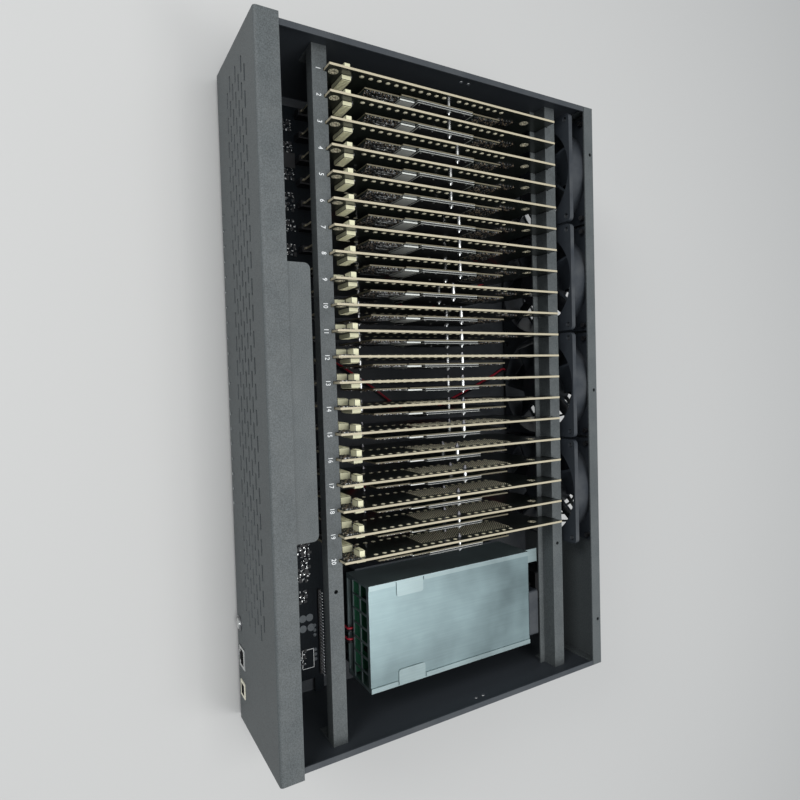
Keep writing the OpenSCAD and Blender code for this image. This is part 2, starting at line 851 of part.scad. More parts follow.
// Twenty small lights on the board's front edge, each with a lens in the panel
module indicator_lights() {
    color("#cfd8dc") in_case()
        for (n = [0 : card_count - 1])
            translate([light_x + n * light_pitch, 0, 0]) {
                translate([0, sheet / 2, light_z]) rotate([-90, 0, 0])
                    cylinder(board_y0 - sheet / 2 + over, d = light_d);
                block([-light_d, board_y0, board_z], [light_d, board_y0 + light_d, board_z + light_body_h]);
            }
}

// The power supply's lower shell: floor, walls folded over the cover, ends with openings
module psu_case() {
    tab_y = psu_y + fold_tab_y;
    ear_z0 = psu_top - 6 * psu_sheet;
    slit_z0 = psu_top - psu_sheet - over;
    color(zinc) in_case() difference() {
        union() {
            block([psu_x0, psu_y, psu_z], [psu_x1, psu_y1, psu_z + psu_sheet]);
            for (x = [psu_x0, psu_x1 - psu_sheet])
                block([x, psu_y, psu_z], [x + psu_sheet, psu_y1, psu_top]);
            for (y = [psu_y, psu_y1 - psu_sheet])
                block([psu_x0, y, psu_z], [psu_x1, y + psu_sheet, psu_top - 2 * psu_sheet]);
            for (side = [0, 1])
                translate([side == 0 ? psu_x0 : psu_x1 - fold_w, psu_y, psu_top - psu_sheet])
                    cube([fold_w, psu_l, psu_sheet]);
            for (side = [-1, 1])
                translate([psu_mid_x + side * psu_w / 2, tab_y + fold_tab_l / 2, psu_top - psu_sheet])
                    linear_extrude(psu_sheet) intersection() {
                        round_plate(2 * fold_tab_w, fold_tab_l, fold_tab_r);
                        translate([side < 0 ? 0 : -fold_tab_w, -fold_tab_l / 2])
                            square([fold_tab_w, fold_tab_l]);
                    }
            block([psu_x0, psu_y1, ear_z0], [psu_x0 + ear_w, psu_y1 + ear_l, ear_z0 + psu_sheet]);
            block([psu_x0, psu_y1 - psu_sheet, psu_z], [psu_x0 + ear_w, psu_y1, ear_z0 + psu_sheet]);
        }
        for (side = [0, 1])
            for (y = [tab_y - fold_slit, tab_y + fold_tab_l])
                translate([side == 0 ? psu_x0 + psu_sheet : psu_x1 - fold_w - over, y, slit_z0])
                    cube([fold_w - psu_sheet + over, fold_slit, psu_sheet + 2 * over]);
        upright_sheet(psu_y - over, psu_sheet + 2 * over) psu_grid();
        upright_sheet(psu_y - over, psu_sheet + 2 * over)
            translate([psu_x0 + fold_w, psu_z + 2 * psu_sheet])
                square([psu_w - 2 * fold_w, grid_z - 4 * psu_sheet]);
        upright_sheet(psu_y1 - psu_sheet - over, psu_sheet + 2 * over)
            translate([psu_fan_x(), psu_fan_z()]) circle(psu_fan_size / 2 - 2 * sheet);
    }
}

// Openings of the grid in the power supply's front end
module psu_grid() {
    cell_w = (psu_w - 2 * psu_sheet - grid_bar) / grid_columns;
    cell_h = (psu_h - grid_z - 2 * psu_sheet - grid_bar) / grid_rows;
    for (c = [0 : grid_columns - 1])
        for (r = [0 : grid_rows - 1])
            translate([psu_x0 + psu_sheet + grid_bar + c * cell_w, psu_z + grid_z + r * cell_h])
                square([cell_w - grid_bar, cell_h - grid_bar]);
}

// Flat top cover, held under the folds
module psu_cover() {
    color(zinc) in_case()
        block(
            [psu_x0 + psu_sheet, psu_y, psu_top - 2 * psu_sheet],
            [psu_x1 - psu_sheet, psu_y1, psu_top - psu_sheet]
        );
}

// The power supply's circuit board, on the shell's floor by four posts, with its largest parts
module psu_board() {
    z0 = psu_z + psu_sheet;
    z1 = z0 + psu_board_z;
    inset = 3 * psu_sheet;
    color("#2f5a3a") in_case() {
        block([psu_x0 + inset, psu_y + inset, z1], [psu_x1 - inset, psu_y1 - inset, z1 + board_t]);
        for (x = [psu_x0 + 3 * inset, psu_x1 - 3 * inset])
            for (y = [psu_y + 3 * inset, psu_y1 - 3 * inset])
                translate([x, y, z0]) cylinder(psu_board_z, d = boss_d);
    }
    color("#30343a") in_case() translate([psu_mid_x, psu_y, z1 + board_t]) {
        heat_l = psu_l / 2;
        heat_h = 22;
        core_w = 28;
        core_l = psu_l / 5.6;
        for (side = [-1, 1])
            block(
                [side * psu_w / 4 - psu_sheet, 2 * boss_d, 0],
                [side * psu_w / 4 + 2 * psu_sheet, 2 * boss_d + heat_l, heat_h]
            );
        block([-core_w / 2, core_l, 0], [core_w / 2, 2 * core_l, heat_h]);
        for (n = [0 : 2])
            translate([0, 3 * core_l + n * core_l / 2, 0]) cylinder(heat_h, d = core_l / 2 - psu_sheet);
    }
}

function psu_fan_x() = psu_x1 - psu_fan_in - 2 * sheet - psu_fan_size / 2;
function psu_fan_z() = psu_z + psu_fan_size / 2 + sheet / 6;

// Places the children on the small fan's axis, with z running to the rear
module on_psu_fan_axis() {
    translate([psu_fan_x(), psu_y1, psu_fan_z()]) rotate([-90, 0, 0]) children();
}

module psu_fan_frame() {
    duct_r = psu_fan_size / 2 - sheet;
    plate_r = psu_fan_hub_d / 2 - sheet;
    color(plastic_black) in_case() on_psu_fan_axis() {
        difference() {
            linear_extrude(psu_fan_d) round_plate(psu_fan_size, psu_fan_size, fan_corner_r / 2);
            translate([0, 0, -over]) cylinder(psu_fan_d + 2 * over, r = duct_r);
        }
        translate([0, 0, psu_fan_d - sheet]) linear_extrude(sheet) {
            circle(plate_r);
            for (a = [45, 135])
                rotate(a) square([2 * duct_r + sheet, 2 * sheet], center = true);
        }
        difference() {
            translate([0, 0, psu_fan_d / 3]) cylinder(psu_fan_d / 2 + sheet, d = 3 * shaft_r);
            translate([0, 0, psu_fan_d / 3 - over]) cylinder(psu_fan_d, r = shaft_r / 2 + shaft_clear);
        }
    }
}

module psu_fan_rotor() {
    hub_z0 = sheet;
    hub_z1 = psu_fan_d - 2 * sheet;
    color(plastic_black) in_case() on_psu_fan_axis() {
        rotor(psu_fan_hub_d / 2, psu_fan_size / 2 - 2 * sheet, hub_z0, hub_z1, hub_z0 + sheet / 3,
            hub_z1 - sheet / 4, blade_t / 2, blade_chord / 2.4, blade_camber_r / 1.5, blade_count);
        translate([0, 0, hub_z0]) cylinder(hub_z1 - hub_z0 - sheet / 2, r = shaft_r / 2);
    }
}

// A rotor: an open cup with cambered blades round it
module rotor(hub_r, tip_r, z0, z1, b0, b1, wall, chord, camber, count) {
    difference() {
        translate([0, 0, z0]) cylinder(z1 - z0, r = hub_r);
        translate([0, 0, z0 + wall]) cylinder(z1, r = hub_r - wall);
    }
    for (n = [0 : count - 1])
        rotate(360 * n / count) intersection() {
            difference() {
                translate([0, 0, b0]) cylinder(b1 - b0, r = tip_r);
                translate([0, 0, -over]) cylinder(b1 + 2 * over, r = hub_r - wall / 2);
            }
            translate([0, 0, (b0 + b1) / 2]) rotate([blade_pitch, 0, 0]) intersection() {
                translate([0, -chord / 2, -chord / 4]) cube([tip_r, chord, chord / 2]);
                translate([0, 0, wall - camber]) rotate([0, 90, 0]) difference() {
                    cylinder(tip_r, r = camber);
                    translate([0, 0, -over]) cylinder(tip_r + 2 * over, r = camber - wall);
                }
            }
        }
}

// Raised stand below the power supply: a table on two legs with inward feet
module psu_bracket() {
    x0 = psu_x0 - sheet;
    x1 = psu_x1 + sheet;
    y0 = psu_y + bracket_edge;
    y1 = psu_y1 - bracket_edge;
    color(dark_coat) in_case() difference() {
        union() {
            block([x0, y0, psu_z - sheet], [x1, y1, psu_z]);
            for (x = [x0, x1 - sheet])
                block([x, y0, floor_z], [x + sheet, y1, psu_z]);
            block([x0, y0, floor_z], [x0 + bracket_foot_w, y1, floor_z + sheet]);
            block([x1 - bracket_foot_w, y0, floor_z], [x1, y1, floor_z + sheet]);
        }
        bracket_places() translate([0, 0, -over]) cylinder(2 * floor_z, d = m3_d + 2 * screw_clear);
    }
}

module bracket_places() {
    for (x = [psu_x0 + bracket_foot_w / 2, psu_x1 - bracket_foot_w / 2])
        for (y = [psu_y + 3 * bracket_edge, psu_y1 - 3 * bracket_edge])
            translate([x, y, 0]) children();
}

module bracket_screws() {
    color(steel) in_case() bracket_places() {
        translate([0, 0, floor_z + sheet]) cylinder(m3_head_h, d = m3_head_d);
        translate([0, 0, sheet]) cylinder(floor_z, d = m3_d);
    }
}

// Mains inlet: a flanged body behind the rear panel with three flat pins in its mouth
module ac_inlet() {
    color(plastic_black) in_case() translate([inlet_x, case_d - sheet, inlet_z]) rotate([90, 0, 0]) {
        difference() {
            union() {
                translate([0, 0, -sheet]) linear_extrude(inlet_d + sheet)
                    round_plate(inlet_w, inlet_h, bend_r);
                linear_extrude(inlet_flange_t) round_plate(inlet_flange_w, inlet_flange_h, bend_r);
            }
            translate([0, 0, -sheet - over]) linear_extrude(inlet_mouth_d + over)
                round_plate(inlet_mouth_w, inlet_mouth_h, bend_r);
            for (side = [-1, 1])
                translate([side * inlet_hole_pitch / 2, 0, -over])
                    cylinder(inlet_flange_t + 2 * over, d = m3_d + 2 * screw_clear);
        }
        pin_z = inlet_mouth_d - sheet - blade_pin_l / 2;
        for (x = [-blade_pin_gap, 0, blade_pin_gap])
            translate([x, x == 0 ? blade_pin_h / 2 : -blade_pin_h / 2, pin_z])
                cube([blade_pin_w, blade_pin_h, blade_pin_l], center = true);
    }
}

// Places the children on a fan's axis, with z running to the rear
module on_fan_axis(n) {
    translate([fan_x(n), fan_y, fan_z]) rotate([-90, 0, 0]) children();
}

module fan_frame(n) {
    color(plastic_black) in_case() on_fan_axis(n) {
        difference() {
            union() {
                for (z = [0, fan_d - fan_flange_t])
                    translate([0, 0, z]) linear_extrude(fan_flange_t)
                        round_plate(fan_size, fan_size, fan_corner_r);
                cylinder(fan_d, r = fan_barrel_r, $fn = 72);
            }
            translate([0, 0, -over]) cylinder(fan_d + 2 * over, r = fan_duct_r, $fn = 72);
            for (sx = [-1, 1])
                for (sy = [-1, 1])
                    translate([sx * fan_hole_pitch / 2, sy * fan_hole_pitch / 2, -over])
                        cylinder(fan_d + 2 * over, d = fan_hole_d);
        }
        translate([0, 0, fan_d - motor_plate_t]) cylinder(motor_plate_t, d = fan_hub_d - 2 * cup_t);
        translate([0, 0, fan_d - strut_t]) linear_extrude(strut_t)
            for (a = [20, 110])
                rotate(a) square([2 * fan_duct_r + cup_t, strut_w], center = true);
        difference() {
            union() {
                translate([0, 0, bearing_z0]) cylinder(fan_d - bearing_z0 - over, r = bearing_r);
                translate([0, 0, stator_z0]) cylinder(cup_z1 - stator_z0, r = stator_r);
            }
            translate([0, 0, bearing_z0 - over])
                cylinder(fan_d - bearing_z0 - motor_plate_t + over, r = shaft_r + shaft_clear);
        }
    }
}

module fan_rotor(n) {
    color(plastic_black) in_case() on_fan_axis(n) {
        rotor(fan_hub_d / 2, fan_duct_r - tip_gap, cup_z0, cup_z1, blade_z0, blade_z1,
            cup_t, blade_chord, blade_camber_r, blade_count);
        translate([0, 0, cup_z0]) cylinder(fan_d - motor_plate_t - cup_z0 - 2 * sheet, r = shaft_r);
    }
}

// A screw through the rear panel, with its head outside
module rear_screw(x, z, d, head_d, l) {
    translate([x, case_d, z]) rotate([90, 0, 0]) {
        translate([0, 0, -fan_screw_proud]) cylinder(fan_screw_proud, d = head_d);
        cylinder(l, d = d);
    }
}

// Screws that hold the fans and the mains inlet to the rear panel
module rear_screws() {
    color(steel) in_case() {
        for (n = [0 : fans - 1])
            for (sx = [-1, 1])
                for (sz = [-1, 1])
                    rear_screw(fan_x(n) + sx * fan_hole_pitch / 2, fan_z + sz * fan_hole_pitch / 2,
                        fan_screw_d, fan_screw_head_d, sheet + 2 * fan_flange_t);
        for (side = [-1, 1])
            rear_screw(inlet_x + side * inlet_hole_pitch / 2, inlet_z, m3_d, m3_head_d, sheet + 2 * m3_d);
    }
}

// A fan's wire: out of the frame, over the floor, then up to its plug on the board
wire_rest_z = floor_z + 0.6 * wire_d;
function wire_height(k) = k < 2 ? fan_z - fan_size / 2 + wire_d / 2
    : k > len(lead_x) - 3 ? board_z + plug_h / 2
    : wire_rest_z;
function fan_wire(n, shift) = [
    for (k = [0 : len(lead_x) - 1])
        [fan_x(n) + lead_x[k] + shift, plug_y1 + lead_y_shares[k] * (fan_y - plug_y1), wire_height(k)]
];
function dc_wire(shift) = [for (p = dc_route) p + [terminal_x + shift, 0, 0]];

module leads(shift) {
    for (n = [0 : fans - 1])
        tube(fan_wire(n, shift), wire_d, 8);
    for (k = [-1, 1])
        tube(dc_wire(k * dc_pitch + shift), wire_d, 8);
}

module red_leads() {
    color("#b3202c") in_case() leads(-lead_gap / 2);
}

module black_leads() {
    color("#17191b") in_case() leads(lead_gap / 2);
}

module mains_lead() {
    color("#17191b") in_case() tube([for (p = mains_route) p + [inlet_x, case_d, 0]], mains_d, 10);
}

module rubber_feet() {
    color(plastic_black) in_case()
        for (sx = [-1, 1])
            for (y = [foot_inset, case_d - foot_inset])
                translate([sx * (case_w / 2 - foot_inset), y, -foot_h])
                    cylinder(foot_h + sheet, d1 = foot_d - 2 * sheet, d2 = foot_d, $fn = 40);
}

// Outline of a card, with its rear to the right: ears on the ledges, body, tongue
module card_outline() {
    polygon([
        [card_y, ear_z], [body_y0, ear_z], [body_y0, body_z0], [tongue_y0, body_z0],
        [tongue_y0, tongue_z0], [tongue_y1, tongue_z0], [tongue_y1, body_z0], [body_y1, body_z0],
        [body_y1, ear_z], [card_y + card_len, ear_z], [card_y + card_len, card_top_z], [card_y, card_top_z]
    ]);
}

// Places of a card's three screws
function card_screws(n) = concat(
    [for (z = column_z) [column_y(n), z]],
    [[module_y0 + low_column_share * module_l, low_screw_z]]
);

// Holes for the card's screws, through whatever lies on their way
module card_screw_holes(n) {
    for (p = card_screws(n))
        translate([-card_pitch / 2, p[0], p[1]]) rotate([0, 90, 0])
            cylinder(card_pitch, d = card_screw_d + 2 * screw_clear);
}

// A screw with its head on the card's left face, a spacer below the phone board and a nut at its end
module card_screw(nut_x) {
    rotate([0, 90, 0]) {
        translate([0, 0, -card_t / 2 - seam - card_screw_out]) cylinder(card_screw_out, d = spacer_d);
        translate([0, 0, -card_t / 2 - seam]) cylinder(nut_x + card_t, d = card_screw_d);
        translate([0, 0, card_t / 2 + seam]) cylinder(module_off - 2 * seam, d = spacer_d);
        translate([0, 0, nut_x]) cylinder(card_screw_out, d = spacer_d, $fn = 6);
    }
}

// One card with its phone board on the right face and its plugs near the front
module card(n) {
    face = card_t / 2 + seam;
    module_x = card_t / 2 + module_off;
    can_x = module_x + module_t + seam;
    in_case() translate([card_x(n), 0, 0]) {
        color(board_edge) difference() {
            translate([-card_t / 2, 0, 0]) rotate([90, 0, 90]) linear_extrude(card_t) card_outline();
            card_screw_holes(n);
        }
        color(board_black) difference() {
            block([module_x, module_y0, module_z0], [module_x + module_t, module_y1, module_z1]);
            card_screw_holes(n);
        }
        color(plastic_black) difference() {
            block(
                [can_x, module_y0 + cover_y_shares[0] * module_l, cover_z0],
                [can_x + can_t, module_y0 + cover_y_shares[1] * module_l, cover_z1]
            );
            card_screw_holes(n);
        }
        color(steel) {
            block(
                [can_x, module_y0 + can_y_shares[0] * module_l, can_z0],
                [can_x + can_t - 2 * seam, module_y0 + can_y_shares[1] * module_l, can_z1]
            );
            for (p = card_screws(n))
                translate([0, p[0], p[1]])
                    card_screw(p[1] == low_screw_z ? can_x : can_x + can_t + seam);
        }
        color(cream) {
            translate([face, tall_plug_y, card_top_z - tall_plug_drop - tall_plug_h])
                cube([tall_plug_out, tall_plug_w, tall_plug_h]);
            translate([-face - wide_plug_out, wide_plug_y, wide_plug_z0])
                cube([wide_plug_out, wide_plug_w, wide_plug_h]);
            translate([-face - small_plug_w, small_plug_y, card_top_z - small_plug_drop - small_plug_h])
                cube([small_plug_w, small_plug_w, small_plug_h]);
        }
    }
}

base_tray();
front_panel();
rear_panel();
hub_shield();
front_card_rail();
rear_card_rail();
rail_screws();
hub_board();
hub_chips();
hub_connectors();
card_sockets();
pin_header();
board_standoffs();
board_screws();
network_socket();
data_socket();
power_switch();
power_button();
indicator_lights();
psu_case();
psu_cover();
psu_board();
psu_fan_frame();
psu_fan_rotor();
psu_bracket();
bracket_screws();
ac_inlet();
fan_frame(0);  // fan_frame_1
fan_frame(1);  // fan_frame_2
fan_frame(2);  // fan_frame_3
fan_frame(3);  // fan_frame_4
fan_rotor(0);  // fan_rotor_1
fan_rotor(1);  // fan_rotor_2
fan_rotor(2);  // fan_rotor_3
fan_rotor(3);  // fan_rotor_4
rear_screws();
red_leads();
black_leads();
mains_lead();
rubber_feet();
card(0);  // card_01
card(1);  // card_02
card(2);  // card_03
card(3);  // card_04
card(4);  // card_05
card(5);  // card_06
card(6);  // card_07
card(7);  // card_08
card(8);  // card_09
card(9);  // card_10
card(10);  // card_11
card(11);  // card_12
card(12);  // card_13
card(13);  // card_14
card(14);  // card_15
card(15);  // card_16
card(16);  // card_17
card(17);  // card_18
card(18);  // card_19
card(19);  // card_20
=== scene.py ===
# %% [markdown]
# A low steel computer case stands open. Twenty upright circuit cards fill it, with a fan wall behind
# them and a flat power supply on the right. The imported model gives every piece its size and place, and
# this lesson gives them their finish. The frame is loaded first, because all else is measured from it.

# %% Load the fixed frame
import math

import bmesh
import bpy
from mathutils import Euler, Matrix, Vector
from mathutils.geometry import tessellate_polygon


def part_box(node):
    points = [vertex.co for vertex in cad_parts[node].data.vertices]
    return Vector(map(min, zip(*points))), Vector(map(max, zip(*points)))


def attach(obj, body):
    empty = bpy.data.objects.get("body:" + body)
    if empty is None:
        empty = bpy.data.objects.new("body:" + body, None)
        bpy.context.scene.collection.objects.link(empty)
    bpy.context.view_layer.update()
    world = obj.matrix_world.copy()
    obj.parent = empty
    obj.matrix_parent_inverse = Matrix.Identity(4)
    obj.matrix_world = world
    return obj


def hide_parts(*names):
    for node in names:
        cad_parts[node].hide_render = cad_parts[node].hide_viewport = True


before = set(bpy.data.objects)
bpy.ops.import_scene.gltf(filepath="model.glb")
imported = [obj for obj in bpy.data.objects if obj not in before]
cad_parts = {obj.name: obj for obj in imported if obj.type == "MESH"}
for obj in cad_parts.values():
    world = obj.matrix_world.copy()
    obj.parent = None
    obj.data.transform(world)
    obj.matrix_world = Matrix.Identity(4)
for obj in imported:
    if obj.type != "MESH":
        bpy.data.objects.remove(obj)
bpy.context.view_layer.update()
print("nodes loaded:", len(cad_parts))

# %% [markdown]
# Sizes are easiest to think about from two real edges: the front face and the bottom edge of the front
# panel. A small helper turns such a place in millimetres into a point of the frame in metres.

# %% Places measured from the front panel
MM = 0.001
front_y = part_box("front_panel")[0].y
panel_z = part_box("front_panel")[0].z


def at(x, y, z):
    """A point x to the right, y behind the front face and z above the panel's bottom edge."""
    return Vector((x * MM, front_y + y * MM, panel_z + z * MM))


into_case = Matrix.Translation(at(0, 0, 0)) @ Matrix.Scale(MM, 4)
print("front face at y", round(front_y, 4), "and its bottom edge at z", round(panel_z, 4))

# %% [markdown]
# The picture is taken by hand from above the case, with the front panel on the left. The camera repeats
# that place and turn. Its lens is as wide as a telephone's, so the near rim looks larger than the floor.

# %% Camera
camera_place = at(-13.62, -112.03, 465.94)
camera_angles = (-1.011, -29.961, 88.137)
focal_share = 0.73478
sensor_mm = 36
sideways_shift = -0.0019
nearest_m = 0.01

camera_data = bpy.data.cameras.new("camera")
camera_data.sensor_width = sensor_mm
camera_data.lens = sensor_mm * focal_share
camera_data.shift_x = sideways_shift
camera_data.clip_start = nearest_m
camera = bpy.data.objects.new("camera", camera_data)
camera.location = camera_place
camera.rotation_euler = Euler([math.radians(a) for a in camera_angles], "XYZ")
bpy.context.scene.collection.objects.link(camera)
bpy.context.scene.camera = camera
print("camera height above the floor:", round(camera_place.z, 3))

# %% [markdown]
# Sheet steel with a matt powder coat shows its form best in broad, soft light. One large lamp hangs
# above the case, one at the front left brightens the panel, and one behind gives the bare metal of the
# supply its sheen. The world fills the shade, so the inside stays dark but can still be read.

# %% Light and world
sky_color, sky_strength = (0.88, 0.94, 1.0, 1), 0.42
world = bpy.data.worlds.new("studio")
world.use_nodes = True
background = world.node_tree.nodes["Background"]
background.inputs["Color"].default_value = sky_color
background.inputs["Strength"].default_value = sky_strength
bpy.context.scene.world = world
bpy.context.scene.view_settings.view_transform = "Standard"


def soft_lamp(name, place, target, size, watts):
    """A square lamp that faces a target; places and size are in metres."""
    data = bpy.data.lights.new(name, "AREA")
    data.size = size
    data.energy = watts
    lamp = bpy.data.objects.new(name, data)
    lamp.location = place
    lamp.rotation_euler = (Vector(target) - Vector(place)).to_track_quat("-Z", "Y").to_euler()
    bpy.context.scene.collection.objects.link(lamp)


lamps = {
    "ceiling": {"place": (0.0, -0.15, 1.7), "target": (0, 0.0, 0), "size": 1.0, "watts": 18},
    "window": {"place": (-0.9, -1.3, 0.9), "target": (-0.2, -0.15, 0.05), "size": 0.7, "watts": 10},
    "side": {"place": (0.62, 0.5, 1.7), "target": (0.15, -0.05, 0.09), "size": 0.5, "watts": 5},
}
for name, settings in lamps.items():
    soft_lamp(name, **settings)
print("lamps:", len(lamps))

# %% [markdown]
# The case stands on a pale matt floor, which gives it a soft shadow and lights its sides from below. The
# floor belongs to the picture and not to the case.

# %% Floor
floor_half, floor_color, floor_roughness = 4.0, (0.54, 0.537, 0.525, 1), 0.85
floor_mesh = bpy.data.meshes.new("floor")
floor_corners = [(x * floor_half, y * floor_half, 0) for x, y in ((-1, -1), (1, -1), (1, 1), (-1, 1))]
floor_mesh.from_pydata(floor_corners, [], [(0, 1, 2, 3)])
floor = bpy.data.objects.new("floor", floor_mesh)
bpy.context.scene.collection.objects.link(floor)
floor_paint = bpy.data.materials.new("pale_floor")
floor_paint.use_nodes = True
floor_paint.node_tree.nodes["Principled BSDF"].inputs["Base Color"].default_value = floor_color
floor_paint.node_tree.nodes["Principled BSDF"].inputs["Roughness"].default_value = floor_roughness
floor_mesh.materials.append(floor_paint)
print("floor side in metres:", 2 * floor_half)

# %% [markdown]
# Each material below is made of nodes. A node is always made in the same way: it is added, set and fed.
# One helper feeds it, and small ones on top of it make the few kinds of node that are used most.

# %% Helpers for shader groups and materials
FLOAT, COLOR, VECTOR = "NodeSocketFloat", "NodeSocketColor", "NodeSocketVector"


def shader_group(name, inputs, outputs):
    """An empty shader group, with the sockets that it is given and those that it gives."""
    tree = bpy.data.node_groups.new(name, "ShaderNodeTree")
    for socket, kind, value in inputs:
        made = tree.interface.new_socket(socket, in_out="INPUT", socket_type=kind)
        if value is not None:
            made.default_value = value
    for socket, kind in outputs:
        tree.interface.new_socket(socket, in_out="OUTPUT", socket_type=kind)
    return tree, tree.nodes.new("NodeGroupInput").outputs, tree.nodes.new("NodeGroupOutput").inputs


def feed(tree, node, feeds):
    """Feeds each input named by another node's socket or by a plain value, and gives the node back."""
    for socket, value in feeds.items():
        if isinstance(value, bpy.types.NodeSocket):
            tree.links.new(value, node.inputs[socket])
        else:
            node.inputs[socket].default_value = value
    return node


def make_node(tree, kind, feeds):
    return feed(tree, tree.nodes.new(kind), feeds)


def math_node(tree, operation, *values):
    node = tree.nodes.new("ShaderNodeMath")
    node.operation = operation
    return feed(tree, node, dict(enumerate(values))).outputs[0]


def vector_math(tree, operation, feeds):
    node = tree.nodes.new("ShaderNodeVectorMath")
    node.operation = operation
    return feed(tree, node, feeds).outputs["Vector"]


def noise_node(tree, vector, scale, detail=2.0):
    """A noise texture on a vector, with a number of features per metre."""
    feeds = {"Vector": vector, "Scale": scale, "Detail": detail}
    return make_node(tree, "ShaderNodeTexNoise", feeds).outputs["Fac"]


def ramp_node(tree, value, low, high, out_low=0.0, out_high=1.0):
    """Maps a value from one range to another and clamps it."""
    return make_node(tree, "ShaderNodeMapRange", {
        "Value": value, "From Min": low, "From Max": high,
        "To Min": out_low, "To Max": out_high}).outputs["Result"]


def mix_colors(tree, share, first, second):
    node = tree.nodes.new("ShaderNodeMix")
    node.data_type = "RGBA"
    return feed(tree, node, {0: share, 6: first, 7: second}).outputs[2]


def scaled_color(tree, color, factor):
    """A colour made lighter or darker by a factor."""
    return vector_math(tree, "SCALE", {0: color, "Scale": factor})


def split(tree, vector):
    """The parts of a vector, by the name of the axis."""
    return make_node(tree, "ShaderNodeSeparateXYZ", {0: vector}).outputs


print("kinds of socket for materials:", FLOAT, COLOR, VECTOR)

# %% [markdown]
# An effect that several materials use is a group, built once. Powder coat and moulded plastic have fine
# grain, and over a hand's width their tone drifts a little. Noise at two scales gives both.

# %% Grain
noise_span = (0.3, 0.7)
patches_per_metre = 14.0


def make_grain():
    """Fine grain of a size in millimetres, with broad faint patches, as colour and height."""
    tree, given, out = shader_group("grain", [
        ("Vector", VECTOR, None), ("Color", COLOR, (0.1, 0.1, 0.1, 1)), ("Size", FLOAT, 0.8),
        ("Contrast", FLOAT, 0.2)], [("Color", COLOR), ("Height", FLOAT)])
    per_metre = math_node(tree, "DIVIDE", 1000.0, given["Size"])
    fine = noise_node(tree, given["Vector"], per_metre, 1.0)
    broad = noise_node(tree, given["Vector"], patches_per_metre)
    low = math_node(tree, "SUBTRACT", 1.0, given["Contrast"])
    high = math_node(tree, "ADD", 1.0, given["Contrast"])
    speck = ramp_node(tree, fine, *noise_span, low, high)
    patch = ramp_node(tree, broad, *noise_span, 0.94, 1.06)
    both = math_node(tree, "MULTIPLY", speck, patch)
    tree.links.new(scaled_color(tree, given["Color"], both), out["Color"])
    tree.links.new(fine, out["Height"])
    return tree


grain = make_grain()
print("shader group:", grain.name)

# %% [markdown]
# Bare sheet keeps faint lines from the rolls and soft clouds from its zinc. Noise stretched along Y
# draws the lines, and slower noise clouds the colour and the roughness.

# %% Rolling streaks
clouds_per_metre = 26.0
streaks_per_metre = (900, 30, 900)


def make_streaks():
    """Streaks of rolled sheet along Y, under soft clouds, as colour, roughness and height."""
    tree, given, out = shader_group("rolling_streaks", [
        ("Vector", VECTOR, None), ("Color", COLOR, (0.5, 0.5, 0.5, 1)), ("Contrast", FLOAT, 0.1),
        ("Roughness", FLOAT, 0.4)], [("Color", COLOR), ("Roughness", FLOAT), ("Height", FLOAT)])
    stretched = vector_math(tree, "MULTIPLY", {0: given["Vector"], 1: streaks_per_metre})
    lines = noise_node(tree, stretched, 1.0)
    cloud = noise_node(tree, given["Vector"], clouds_per_metre, 3.0)
    low = math_node(tree, "SUBTRACT", 1.0, given["Contrast"])
    high = math_node(tree, "ADD", 1.0, given["Contrast"])
    tone = math_node(tree, "MULTIPLY", ramp_node(tree, cloud, *noise_span, low, high),
                     ramp_node(tree, lines, *noise_span, 0.96, 1.04))
    tree.links.new(scaled_color(tree, given["Color"], tone), out["Color"])
    uneven = ramp_node(tree, cloud, *noise_span, 0.85, 1.2)
    rough = math_node(tree, "MULTIPLY", given["Roughness"], uneven)
    tree.links.new(rough, out["Roughness"])
    tree.links.new(lines, out["Height"])
    return tree


streaks = make_streaks()
print("shader group:", streaks.name)

# %% [markdown]
# A case that has run for months has dust on whatever looks up. The object's normal says where that is,
# and noise breaks the veil into patches.

# %% Dust
dust_per_metre = 60.0
dust_color = (0.45, 0.45, 0.43, 1)


def make_dust():
    """A thin veil of pale dust in patches, on faces that look up."""
    tree, given, out = shader_group("settled_dust", [
        ("Vector", VECTOR, None), ("Color", COLOR, (0.1, 0.1, 0.1, 1)), ("Amount", FLOAT, 0.1)],
        [("Color", COLOR)])
    coords = tree.nodes.new("ShaderNodeTexCoord")
    up = ramp_node(tree, split(tree, coords.outputs["Normal"])["Z"], 0.5, 1.0)
    patches = ramp_node(tree, noise_node(tree, given["Vector"], dust_per_metre, 4.0), 0.35, 0.75)
    share = math_node(tree, "MULTIPLY", math_node(tree, "MULTIPLY", up, patches), given["Amount"])
    tree.links.new(mix_colors(tree, share, given["Color"], dust_color), out["Color"])
    return tree


dust = make_dust()
print("shader group:", dust.name)


# %% [markdown]
# A finish is then a short function: it sets the plain numbers on the shader itself and lets a group
# vary the colour and the height. Bump gives the powder its tooth where no mesh could be so fine.

# %% Finishes from the groups
tooth_share, streak_depth = 0.12, 0.02 * MM


def plain_material(name, metallic, roughness, **settings):
    """A material with its principled shader, its tree and the object coordinates."""
    material = bpy.data.materials.new(name)
    material.use_nodes = True
    tree = material.node_tree
    shader = tree.nodes["Principled BSDF"]
    shader.inputs["Metallic"].default_value = metallic
    shader.inputs["Roughness"].default_value = roughness
    for socket, value in settings.items():
        shader.inputs[socket.replace("_", " ")].default_value = value
    coords = tree.nodes.new("ShaderNodeTexCoord").outputs["Object"]
    return material, tree, shader, coords


def placed_group(tree, group, vector, **values):
    """A group placed in a material, on a vector, with its own values."""
    node = tree.nodes.new("ShaderNodeGroup")
    node.node_tree = group
    return feed(tree, node, {"Vector": vector, **values})


def add_bump(tree, shader, height, strength, distance):
    bump = make_node(tree, "ShaderNodeBump", {"Strength": strength, "Distance": distance, "Height": height})
    tree.links.new(bump.outputs["Normal"], shader.inputs["Normal"])


